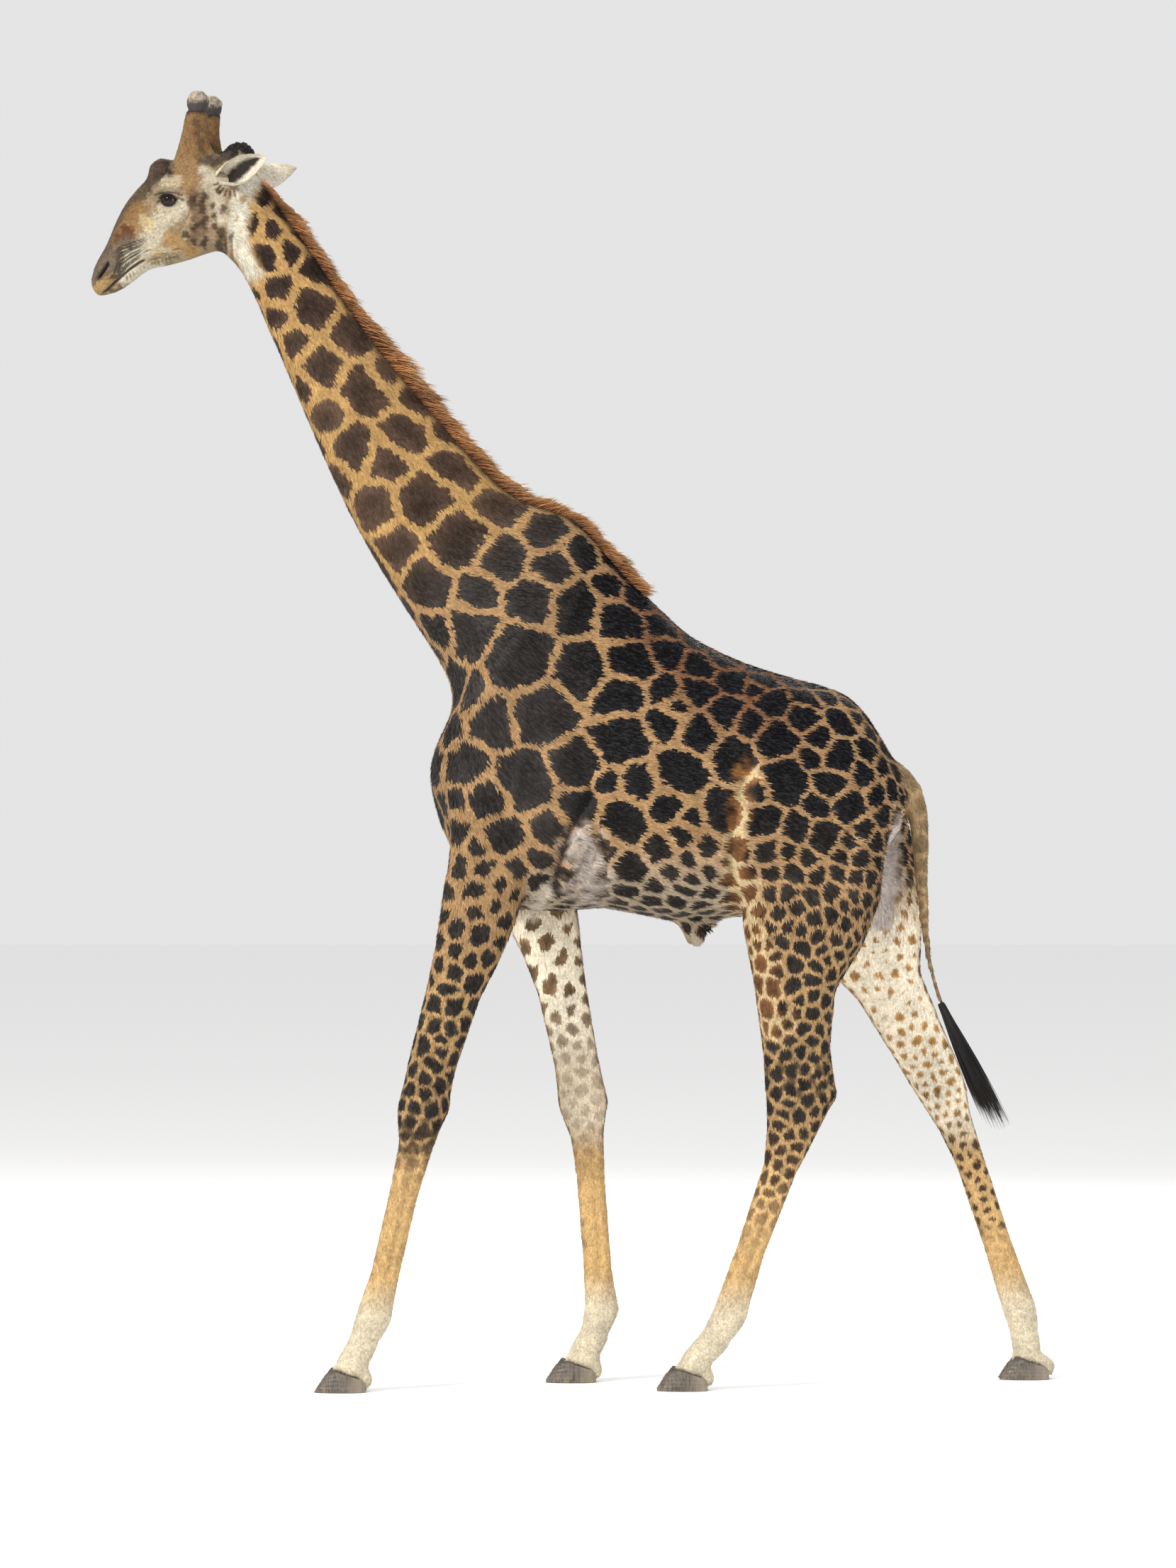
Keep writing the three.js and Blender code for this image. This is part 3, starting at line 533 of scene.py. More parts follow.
# nostril: a slit bent like a comma, with a raised wing in front and a rim behind
nostril = [(-1.668, 4.023), (-1.672, 4.003), (-1.683, 3.985), (-1.700, 3.962), (-1.715, 3.948)]
wrinkle(nostril, 0.0055, 0.014, 0.25, 1.6)
mould([(v[0] - 0.014, v[1] + 0.003) for v in nostril], 0.007, 0.005, 0.2)
mould([(v[0] + 0.014, v[1] - 0.002) for v in nostril], 0.007, 0.004, 0.2)
# mouth line, the fleshy upper lip over it, the lower lip and the chin
mouth = [(-1.705, 3.890), (-1.668, 3.918), (-1.643, 3.942), (-1.620, 3.958), (-1.590, 3.985), (-1.555, 4.008),
         (-1.525, 4.020)]
wrinkle(mouth, 0.0042, 0.0090, 0.12, 1.3)
mould([(v[0] - 0.006, v[1] + 0.010) for v in mouth], 0.008, 0.004, 0.2)
mould([(v[0] + 0.006, v[1] - 0.010) for v in mouth[1:]], 0.008, 0.003, 0.2)
mould([(-1.69, 3.925), (-1.655, 3.955), (-1.625, 3.975)], 0.014, 0.004)
mould([(-1.665, 3.895), (-1.63, 3.905), (-1.60, 3.93)], 0.016, 0.004, where=on_head)
# ribs of skin along the lower jaw
for k in range(13):
    x, z = -1.60 + 0.013 * k, 3.955 + 0.0050 * k
    wrinkle([(x - 0.006, z + 0.022), (x, z), (x + 0.004, z - 0.03)], 0.0032, 0.0042, 0.4, 0.55)
# loose folds of the throat, and the fan of folds below the ear
for k in range(6):
    x = -1.235 + 0.022 * k
    wrinkle([(x, 4.13), (x - 0.008, 4.06), (x - 0.004, 3.99), (x + 0.012, 3.92)], 0.005, 0.0065, 0.35, 0.6)
for k in range(6):
    turn = math.radians(200 + 17 * k)
    line = [(-1.222 + r * math.cos(turn), 4.300 + r * math.sin(turn)) for r in (0.028, 0.05, 0.078)]
    wrinkle(line, 0.0040, 0.0060, 0.4, 0.8)
# the crest behind the horns is lumpy
lumps = np.sin(q[:, 0] * 260 + 1) * np.sin(q[:, 2] * 240)
lumps += 0.6 * np.sin(q[:, 0] * 410) * np.sin(q[:, 1] * 300)
push += 0.004 * lumps * ramp(0.05, 0.02, np.hypot(q[:, 0] + 1.18, q[:, 2] - 4.43)) * on_head
p += push[:, None] * out

# lids: the skin slides over the eyeball and dives behind it inside the opening
h = straight_head(p)
straight = np.column_stack([h[:, 0], np.abs(h[:, 1]), h[:, 2]])
away = straight - EYE_MIDDLE
reach = np.linalg.norm(away, axis=1)
across, up = away[:, 0] + 0.0015, away[:, 2] + LID_TILT * away[:, 0] + 0.001
tall = np.where(up > 0, LID_ABOVE, LID_BELOW)
squarer = np.where(up > 0, 2.8, 1.9)
opening = (np.abs(across / LID_HALF) ** squarer + np.abs(up / tall) ** squarer) ** (1 / squarer)
edge = (opening - 1) * np.where(np.abs(across) > 0.02, 0.024, tall)
lid = np.where(up > 0, LID_THICK_ABOVE, LID_THICK_BELOW)
wanted = EYE_RADIUS - 0.005 + (0.005 + lid) * ramp(-0.0012, 0.0022, edge)
wanted -= 0.0048 * bump(edge, 0.0105, 0.0030) * ramp(0, 0.008, up)
wanted -= 0.0022 * bump(edge, 0.0120, 0.0035) * ramp(0, -0.01, up)
hold = (1 - ramp(0.007, 0.024, edge)) * ramp(-0.1, 0.35, away[:, 1] / reach.clip(1e-6))
hold *= (reach < 0.07) * on_head
slid = EYE_MIDDLE + away / reach.clip(1e-6)[:, None] * wanted[:, None]
straight += (slid - straight) * hold[:, None]
straight[:, 1] *= np.sign(h[:, 1])
moved = turned_head(straight)
p = np.where((hold > 0)[:, None], moved, p)
put_points(skin, p)
keep(skin, "crease", "FLOAT", crease)
keep(skin, "lid_edge", "FLOAT", np.where((away[:, 1] > 0) & (reach < 0.08), edge, 1.0))

# ---- The hide: its thickness and its points ----
# The skin lies inside the animal's outline by the depth of the coat that covers it. The body keeps only
# as many faces as its curves need, and the eyes, nostrils and lips nearly all of theirs.
SKIN_FACES = 176000
COAT_DEPTH, BARREL_COAT_DEPTH, HEEL_COAT_DEPTH = 0.004, 0.009, 0.003
hide = in_scene("hide", skin)
p, out = points_of(skin), normals_of(skin)
p -= out * (COAT_DEPTH * (1 - 0.75 * head_share(p)) * ramp(0.0, 0.3, p[:, 2]))[:, None]
# the coat is longest where the barrel is widest, so the skin lies deeper there
p[:, 1] -= np.sign(p[:, 1]) * BARREL_COAT_DEPTH * ramp(0.33, 0.386, np.abs(p[:, 1]))
p[:, 0] -= HEEL_COAT_DEPTH * ramp(1.68, 1.734, p[:, 0])
put_points(skin, p)
# the share of a vertex says how long its edges may grow: most on the trunk, least round eyes and lips
plain = hide.vertex_groups.new(name="plain")
free = np.where(p[:, 2] < 1.3, 0.84, 0.9)
free = np.where(head_share(p) > 0.5, 0.62, free)
free = np.where(detail_zone(p), 0.25, free)
for level in np.unique(free):
    plain.add(np.nonzero(free == level)[0].tolist(), float(level), "REPLACE")
skin.calc_loop_triangles()
thin = hide.modifiers.new("thin", "DECIMATE")
thin.ratio = SKIN_FACES / len(skin.loop_triangles)
thin.vertex_group = "plain"
thin.vertex_group_factor = 1.0
thin.use_collapse_triangulate = True
skin = result_of(hide)
hide.modifiers.clear()
hide.vertex_groups.clear()
hide.data = skin

# ---- The hide: the ears ----
# Each ear is a long leaf of gristle rolled into a cup, open outwards, with a narrow throat where it leaves
# the skull. It is one with the hide. Hair as pale as cream covers it, thin in the hollow, which is painted
# dark: partly dark skin, partly painted shade deep in the cup.
EAR_ROOT = np.array([-0.044, 0.066, 4.296])
EAR_TIP = np.array([0.176, 0.196, 4.360])
EAR_FACING = np.array([-0.50, 0.85, -0.12])
EAR_HALF = 0.049
EAR_ROWS, EAR_ARC = 30, 26


def tube(rings, sides, first=0):
    """Corner lists of the faces that join rings of points one after another."""
    faces = []
    for row in range(first, first + (rings - 1) * sides, sides):
        for j in range(sides):
            k = (j + 1) % sides
            faces.append((row + j, row + k, row + sides + k, row + sides + j))
    return faces


def ear_shell(side):
    """Outer and inner leaf of one ear, closed round its rim and across its root."""
    axis = (EAR_TIP - EAR_ROOT) / np.linalg.norm(EAR_TIP - EAR_ROOT)
    length = np.linalg.norm(EAR_TIP - EAR_ROOT)
    facing = EAR_FACING - axis * (EAR_FACING @ axis)
    facing /= np.linalg.norm(facing)
    across = np.cross(axis, facing)
    places, facts = [], []
    for i in range(EAR_ROWS):
        t = i / (EAR_ROWS - 1)
        wide = np.interp(t, [0, 0.12, 0.3, 0.55, 0.75, 0.9, 1], [0.46, 0.62, 0.92, 1.0, 0.78, 0.42, 0.05])
        wide *= EAR_HALF
        roll = math.radians(np.interp(t, [0, 0.15, 0.4, 0.8, 1], [172, 150, 112, 88, 70]))
        middle = EAR_ROOT + axis * length * t + facing * (0.012 * math.sin(3.1 * t))
        for leaf in (0, 1):
            thick = 0.0 if leaf == 0 else np.interp(t, [0, 0.5, 1], [0.006, 0.0042, 0.001])
            for j in range(EAR_ARC):
                turn = (j / (EAR_ARC - 1) * 2 - 1) * (1 if leaf == 0 else -1)
                angle = roll * turn
                rim = 1 - 0.55 * abs(turn) ** 8 * leaf
                curl = 1 + 0.12 * math.sin(5 * t + 2 * turn) * abs(turn) + 0.05 * math.sin(9 * t + 3 * turn)
                r = (wide - thick * rim) * curl
                place = middle + across * r * math.sin(angle) - facing * r * math.cos(angle) * 0.62
                places.append(place)
                facts.append((1.0 + leaf, t, turn))
    around = 2 * EAR_ARC
    ends = [tuple(range(around))[::-1], tuple(range(len(places) - around, len(places)))]
    return turned_head(np.array(places) * [1, side, 1]), tube(EAR_ROWS, around) + ends, facts


whole = bmesh.new()
whole.from_mesh(skin)
ear_fact = whole.verts.layers.float_vector.new("ear")
for side in (-1, 1):
    places, faces, facts = ear_shell(side)
    corners = []
    for place, fact in zip(places, facts):
        corner = whole.verts.new(place)
        corner[ear_fact] = Vector(fact)
        corners.append(corner)
    made = [whole.faces.new([corners[c] for c in face]) for face in faces]
    bmesh.ops.recalc_face_normals(whole, faces=made)
    bmesh.ops.triangulate(whole, faces=[f for f in made if len(f.verts) > 4])
whole.to_mesh(skin)
whole.free()
skin.update()

# ---- The hide: markings ----
# Dark patches with leafy edges lie close together on a granular tan ground, large on the neck and shoulder,
# small on rump and belly, and run out into faint spots down the legs. Each patch grows round its own centre.
# On the left side the largest have set places, (x, z, half width), and the rest fill in round them.
NECK_PATCHES = [
    (-1.11, 4.24, 0.025), (-1.14, 4.14, 0.028), (-1.08, 4.13, 0.033), (-1.10, 4.02, 0.040),
    (-1.02, 4.04, 0.035), (-0.98, 4.10, 0.028), (-1.06, 3.91, 0.045), (-1.14, 3.90, 0.030),
    (-1.07, 3.81, 0.043), (-0.93, 3.86, 0.068), (-0.91, 3.97, 0.063), (-1.01, 3.71, 0.043),
    (-0.90, 3.63, 0.060), (-0.78, 3.75, 0.065), (-0.79, 3.84, 0.033), (-0.75, 3.56, 0.078),
    (-0.68, 3.61, 0.043), (-0.97, 3.54, 0.043), (-0.89, 3.44, 0.055), (-0.60, 3.39, 0.070),
    (-0.80, 3.34, 0.070), (-0.67, 3.30, 0.063), (-0.53, 3.17, 0.075), (-0.44, 3.28, 0.063),
    (-0.73, 3.13, 0.063), (-0.82, 3.15, 0.030), (-0.65, 2.98, 0.060), (-0.41, 3.00, 0.083),
    (-0.52, 2.84, 0.075), (-0.59, 2.76, 0.028), (-0.50, 2.63, 0.038), (-0.58, 3.57, 0.035),
    (-0.30, 3.26, 0.030), (-0.26, 3.13, 0.060),
]
SHOULDER_PATCHES = [
    (-0.10, 3.05, 0.065), (0.02, 2.97, 0.045), (-0.26, 2.93, 0.080), (-0.37, 2.69, 0.082),
    (-0.16, 2.81, 0.085), (0.00, 2.78, 0.085), (0.13, 2.86, 0.032), (-0.19, 2.59, 0.105),
    (0.02, 2.54, 0.090), (0.16, 2.73, 0.065), (-0.37, 2.46, 0.047), (-0.30, 2.37, 0.072),
    (-0.11, 2.39, 0.095), (0.19, 2.57, 0.075), (0.15, 2.46, 0.080), (-0.39, 2.22, 0.077),
    (-0.18, 2.16, 0.092), (-0.30, 2.09, 0.060), (-0.43, 2.09, 0.045), (0.00, 2.21, 0.082),
    (-0.25, 1.97, 0.065), (-0.09, 1.98, 0.065), (-0.42, 1.99, 0.045), (-0.34, 1.92, 0.032),
    (-0.40, 1.85, 0.045), (-0.32, 1.85, 0.040), (-0.20, 1.85, 0.040), (-0.27, 1.80, 0.025),
    (-0.20, 1.76, 0.025), (-0.35, 1.77, 0.032), (-0.34, 1.70, 0.032), (-0.28, 1.71, 0.027),
]
BARREL_PATCHES = [
    (0.31, 2.71, 0.050), (0.34, 2.61, 0.050), (0.31, 2.47, 0.042), (0.16, 2.30, 0.087),
    (0.32, 2.36, 0.057), (0.44, 2.32, 0.067), (0.11, 2.15, 0.037), (0.23, 2.15, 0.052),
    (0.37, 2.18, 0.087), (0.55, 2.24, 0.077), (0.16, 2.02, 0.080), (0.33, 2.07, 0.047),
    (0.52, 2.05, 0.070), (0.41, 2.02, 0.027), (0.37, 1.96, 0.037), (0.46, 1.92, 0.035),
    (0.30, 1.91, 0.042), (0.40, 1.88, 0.035), (0.19, 1.84, 0.067), (0.18, 1.77, 0.045),
    (0.34, 1.84, 0.035), (0.41, 1.81, 0.025), (0.48, 1.84, 0.030), (0.52, 1.86, 0.025),
]
RUMP_PATCHES = [
    (0.44, 2.47, 0.050), (0.35, 2.42, 0.035), (0.44, 2.57, 0.055), (0.42, 2.65, 0.032),
    (0.56, 2.59, 0.035), (0.56, 2.51, 0.050), (0.64, 2.48, 0.035), (0.69, 2.44, 0.050),
    (0.53, 2.40, 0.052), (0.67, 2.51, 0.030), (0.77, 2.51, 0.032), (0.82, 2.45, 0.050),
    (0.81, 2.38, 0.047), (0.71, 2.30, 0.070), (0.74, 2.16, 0.085), (0.86, 2.31, 0.050),
    (0.93, 2.25, 0.062), (0.94, 2.37, 0.050), (0.90, 2.45, 0.035), (0.89, 2.14, 0.060),
    (0.85, 2.07, 0.045), (0.96, 2.07, 0.047), (1.04, 2.34, 0.032), (1.04, 2.26, 0.040),
    (1.02, 2.18, 0.037), (1.07, 2.11, 0.035), (0.67, 2.02, 0.055), (0.78, 1.99, 0.047),
    (0.87, 1.96, 0.055), (0.68, 1.91, 0.040), (0.64, 2.12, 0.037), (0.74, 1.91, 0.030),
]
NEAREST, CANDIDATES = 4, 9
SIZE_WEIGHT = 0.7
CLOSEST, TRIES = 0.92, 45000
rng = np.random.default_rng(7)


def down_neck(p):
    """Distance along the neck from the poll, below the ears, to its root on the shoulder (about 1.7)."""
    return (p[:, 0] + 1.215) * 0.57 + (4.2 - p[:, 2]) * 0.82


def half_width(p):
    """Usual half width of a patch at each place."""
    x, z = p[:, 0], p[:, 2]
    neck = np.interp(down_neck(p), [-0.3, 0.1, 0.5, 1.2], [0.022, 0.033, 0.055, 0.075])
    trunk = np.interp(x, [-0.2, 0.15, 0.5, 0.9, 1.2], [0.075, 0.068, 0.052, 0.042, 0.036])
    trunk *= np.interp(z, [1.6, 1.85, 2.1], [0.50, 0.66, 1.0])
    leg = np.interp(z, [0.2, 0.8, 1.1, 1.45, 1.8], [0.018, 0.022, 0.025, 0.030, 0.040])
    on_neck = ramp(-0.15, 0.1, 1.62 - down_neck(p)) * ramp(2.5, 2.7, z)
    size = trunk * (1 - on_neck) + neck * on_neck
    on_leg = ramp(1.95, 1.65, z)
    return size * (1 - on_leg) + np.minimum(size, leg) * on_leg


face_at = face_middles(skin)
tree = ray_tree(skin)
centres, halves = [], []
for x, z, half in NECK_PATCHES + SHOULDER_PATCHES + BARREL_PATCHES + RUMP_PATCHES:
    hit = tree.ray_cast(Vector((x, -3, z)), Vector((0, 1, 0)))[0]
    if hit:
        centres.append(tuple(hit))
        halves.append(half)
placed = len(centres)
for i in rng.permutation(len(face_at))[:TRIES]:
    here = face_at[i]
    half = half_width(here[None])[0] * rng.uniform(0.85, 1.15)
    gap = np.linalg.norm(np.array(centres) - here, axis=1)
    if (gap > CLOSEST * (half + np.array(halves))).all():
        centres.append(tuple(here))
        halves.append(half)
centres, halves = np.array(centres, dtype=np.float32), np.array(halves, dtype=np.float32)


def nearest_patches(places, count):
    """The patches whose edges come nearest to each place."""
    finder = KDTree(len(centres))
    for i, centre in enumerate(centres):
        finder.insert(centre, i)
    finder.balance()
    around = np.array([[found[1] for found in finder.find_n(place, CANDIDATES)] for place in places])
    reach = np.linalg.norm(places[:, None] - centres[around], axis=2) - SIZE_WEIGHT * halves[around]
    order = np.argsort(reach, axis=1)[:, :count]
    return np.take_along_axis(around, order, 1)


# the patches without a set place spread out evenly
sample = face_at[::6]
for _ in range(3):
    owner = nearest_patches(sample, 1)[:, 0]
    total = np.bincount(owner, minlength=len(centres)).clip(1)[:, None]
    middle = np.stack([np.bincount(owner, sample[:, a], len(centres)) for a in range(3)], 1) / total
    moving = (np.arange(len(centres)) >= placed) & (np.bincount(owner, minlength=len(centres)) > 3)
    for i in np.nonzero(moving)[0]:
        centres[i] = tree.find_nearest(middle[i])[0]

owners = nearest_patches(face_at, NEAREST)
for k in range(NEAREST):
    keep(skin, f"patch_centre_{k + 1}", "FLOAT_VECTOR", centres[owners[:, k]], "FACE")
keep(skin, "patch_reach", "FLOAT_COLOR", SIZE_WEIGHT * halves[owners], "FACE")
keep(skin, "patch_tone", "FLOAT", rng.uniform(0, 1, len(centres))[owners[:, 0]], "FACE")

# ---- The hide: colours of the coat ----
# The ground runs from tan on the neck to reddish brown on the back, greyish cream on the belly and
# ochre down the legs to cream pasterns. The patches are brown on the neck and nearly black on the back.
# Everything is laid on in soft strokes, seen from the side, with colours as the eye has them in daylight.
HAIR_SHADE = 0.66


def paint(red, green, blue):
    """The colour of the hair itself, from how the coat looks in full daylight, 0 to 255."""
    c = np.array([red, green, blue], dtype=float) / 255
    return HAIR_SHADE * np.where(c <= 0.04045, c / 12.92, ((c + 0.055) / 1.055) ** 2.4)


def shader_colour(red, green, blue):
    """The same, as a shader takes it."""
    return (*paint(red, green, blue), 1)


def lay(over, value, share):
    """Lays one row of values over all the others, by shares from 0 to 1."""
    over += (value - over) * np.asarray(share, dtype=float)[:, None]


def tint(over, look, share, bright=1.0):
    """Lays one colour over the others."""
    lay(over, bright * paint(*look), share)


p, out = points_of(skin), normals_of(skin)
x, y, z = p.T
neckward = ramp(-0.1, 0.25, 1.55 - down_neck(p)) * ramp(2.45, 2.75, z)
top_x = np.linspace(-0.6, 1.3, 96)
top_z = np.array([z[(np.abs(x - t) < 0.03)].max() for t in top_x])
below_back = np.interp(x, top_x, top_z) - z
backward = (1 - ramp(0.16, 0.42, below_back)) * ramp(0.0, 0.25, x) * (z > 1.9)
legward = ramp(1.75, 1.35, z)
belly = ramp(1.98, 1.72, z) * ramp(-0.05, 0.08, x) * ramp(0.66, 0.56, x) * (z > 1.5)
belly = np.maximum(belly, ramp(-0.35, -0.8, out[:, 2]) * (z > 1.55) * (z < 2.0))

ground = np.tile(paint(184, 146, 103), (len(p), 1))
tint(ground, (199, 159, 102), neckward)
tint(ground, (142, 100, 70), backward)
# the rump is painted lighter than the back: painted light on a part that turns away from the key light
tint(ground, (190, 152, 110), backward * ramp(0.66, 0.95, x))
tint(ground, (193, 174, 148), belly)
tint(ground, (196, 158, 108), legward)
tint(ground, (232, 192, 132), ramp(0.95, 0.7, z))
tint(ground, (238, 224, 194), ramp(0.42, 0.25, z))

patch = np.tile(paint(22, 20, 21), (len(p), 1))
# patches from the shoulder forward are painted paler: painted sheen of the light on their hair
tint(patch, (52, 47, 44), ramp(0.12, -0.12, x))
tint(patch, (82, 63, 50), neckward)
tint(patch, (58, 42, 36), neckward * ramp(0.75, 0.2, down_neck(p)))
tint(patch, (18, 16, 20), backward)
tint(patch, (50, 43, 38), ramp(2.1, 1.75, z))
tint(patch, (92, 70, 50), ramp(1.0, 0.7, z))

net = np.interp(down_neck(p), [0.0, 0.6, 1.6], [0.024, 0.031, 0.028])
net = net * neckward + 0.026 * (1 - neckward)
net += (0.015 - net) * backward
net += (0.014 - net) * ramp(0.5, 0.8, x) * (1 - backward)
net += (0.020 - net) * belly
net += (0.013 - net) * legward
soft = 0.0022 + 0.005 * belly + 0.004 * legward
hind = x > LEG_PARTING_X
ink = 1 - 0.9 * ramp(np.where(hind, 0.80, 0.95), np.where(hind, 0.44, 0.66), z)

# where the legs face each other and under the flanks the coat is white, with pale ochre spots
facing = ramp(0.05, 0.55, -out[:, 1] * np.sign(y)) * ramp(1.85, 1.6, z) * ramp(0.35, 0.55, z)
netted = ramp(0.75, 1.0, z) * ramp(1.3, 1.1, z) * (x < LEG_PARTING_X) + ramp(0.9, 0.7, z) * (x > 1.0)
# the white is painted brighter than the hair itself: painted light that lifts the inner faces of the far legs
# out of the shade of the near legs and belly
tint(ground, (252, 240, 216), facing * (1 - 0.35 * netted) * ramp(0.80, 0.98, z), bright=1.28)
tint(patch, (196, 152, 94), facing * ramp(0.8, 1.0, z) * hind)
tint(patch, (134, 108, 78), facing * ramp(0.8, 1.0, z) * ~hind)
ink = np.maximum(ink, facing * ramp(0.45, 0.6, z) * (x > 1.0))
ink = ink * (1 - 0.6 * facing * ~hind * ramp(1.40, 1.05, z))
net += facing * (0.005 + 0.011 * ramp(1.1, 1.45, z))

mottle = np.sin(x * 95 + 2.2 * np.sin(z * 61)) + np.sin(z * 83 + 2 * np.sin(x * 77 + y * 60))
mottle += 0.7 * np.sin(x * 190 + 2 * np.sin(z * 170)) * np.sin(z * 230)
on_left = ramp(0.02, -0.02, y)


def stroke(places, line, full, none, rough=0.0):
    """How strongly a stroke covers each place: wholly within one width, not at all beyond the other."""
    return 1 - ramp(full, none, off_line(places, line)[0] + rough)


def on_tail(p):
    """The tail below its root."""
    return (np.abs(p[:, 1]) < 0.06) & (p[:, 0] > 1.16) & (p[:, 2] < 2.3) & (p[:, 2] > 1.2)


def brush(line, width, rough=0.0):
    """The same for a broad stroke on the sides of the body."""
    return stroke(p, line, 0.5 * width, 1.35 * width, rough * mottle) * ramp(0.02, 0.2, np.abs(out[:, 1]))


# bare creased skin in the armpit, streaked with painted shade in its creases, a pale callus below the elbow,
# a cream strip down the front of the thigh
armpit = brush([(0.025, 1.93), (0.05, 1.84), (0.04, 1.77)], 0.062, 0.020)
tint(ground, (206, 192, 180), armpit)
# the dark streaks are painted shade in the creases of the armpit
armpit_crease_shade = np.sin((x * 0.8 - z * 0.55) * 210 + 2.4 * np.sin(z * 60))
armpit_crease_shade += 0.6 * np.sin(z * 190 + 2 * np.sin(x * 150))
tint(ground, (74, 62, 56), 0.8 * armpit * ramp(0.55, 1.3, armpit_crease_shade))
ink = ink * (1 - 0.85 * armpit)
# the folds behind the elbow and before the thigh are painted dark at the bottom on the left side: painted
# shade in the folds
elbow_line = brush([(0.055, 2.13), (0.005, 2.03), (-0.03, 1.96), (-0.06, 1.86), (-0.09, 1.77)], 0.014, 0.003)
thigh_line = brush([(0.590, 2.17), (0.560, 2.08), (0.543, 1.96), (0.543, 1.86), (0.56, 1.76)], 0.009, 0.002)
painted_fold_shade = np.maximum(0.9 * elbow_line, 0.6 * thigh_line) * on_left
tint(ground, (36, 31, 30), painted_fold_shade)
callus = brush([(-0.15, 1.69), (-0.10, 1.765)], 0.030, 0.006)
tint(ground, (228, 214, 192), callus)
ink = ink * (1 - callus)
# the cream here is partly pale hair and partly painted light on the lit front edge of the thigh, which also
# pales its patches
strip = brush([(0.605, 2.19), (0.58, 2.086), (0.565, 1.961), (0.565, 1.861), (0.58, 1.761)], 0.034, 0.012)
thigh_front = brush([(0.58, 1.80), (0.62, 1.62), (0.66, 1.45), (0.70, 1.30)], 0.060, 0.018)
tint(ground, (232, 208, 160), np.maximum(0.9 * strip, 0.75 * thigh_front))
tint(patch, (146, 98, 56), np.maximum(0.85 * strip, 0.65 * thigh_front))
# the bare gap under the tail, and the tip of the sheath
gap_under_tail = brush([(1.12, 2.02), (1.13, 1.80), (1.10, 1.66)], 0.045, 0.006) * ramp(0.20, 0.12, np.abs(y))
tint(ground, (226, 214, 206), gap_under_tail)
ink = ink * (1 - 0.9 * gap_under_tail)
sheath_tip = stroke(p, [(0.434, 1.575), (0.430, 1.56)], 0.015, 0.035)
tint(ground, (220, 208, 190), sheath_tip)
ink = ink * (1 - sheath_tip)
# knees and near hock are dark and scuffed, the fronts of the cannons smudged, the tail mottled
knee = ramp(0.78, 0.88, z) * ramp(1.28, 1.00, z) * ~hind
hock = ramp(0.95, 1.05, z) * ramp(1.28, 1.16, z) * hind * (x < 1.1)
scuffed = np.maximum(knee, hock) * (0.35 + 0.65 * on_left) * (1 - 0.8 * facing)
tint(ground, (78, 62, 48), 0.85 * scuffed * ramp(-0.5, 1.0, mottle))
front = ramp(0.3, 0.8, -out[:, 0]) * ramp(0.32, 0.45, z) * ramp(0.8, 0.6, z)
tint(ground, (150, 120, 86), 0.65 * front * ramp(0.0, 1.2, mottle))
tail = on_tail(p)
tint(ground, (196, 164, 120), tail)
tint(patch, (112, 90, 66), tail)
ink = ink * (1 - 0.45 * tail)
# a dark stripe runs beside the foot of the mane
crest_x = np.linspace(-1.15, 0.30, 120)
crest_z = np.array([z[(np.abs(x - t) < 0.02) & (np.abs(y) < 0.04)].max() for t in crest_x])
by_mane = ramp(0.062, 0.03, np.abs(y) + 0.005 * mottle) * (x > -1.14) * ramp(0.34, 0.24, x)
by_mane *= ramp(0.12, 0.05, np.interp(x, crest_x, crest_z) - z)
tint(ground, (64, 48, 38), 0.85 * by_mane)

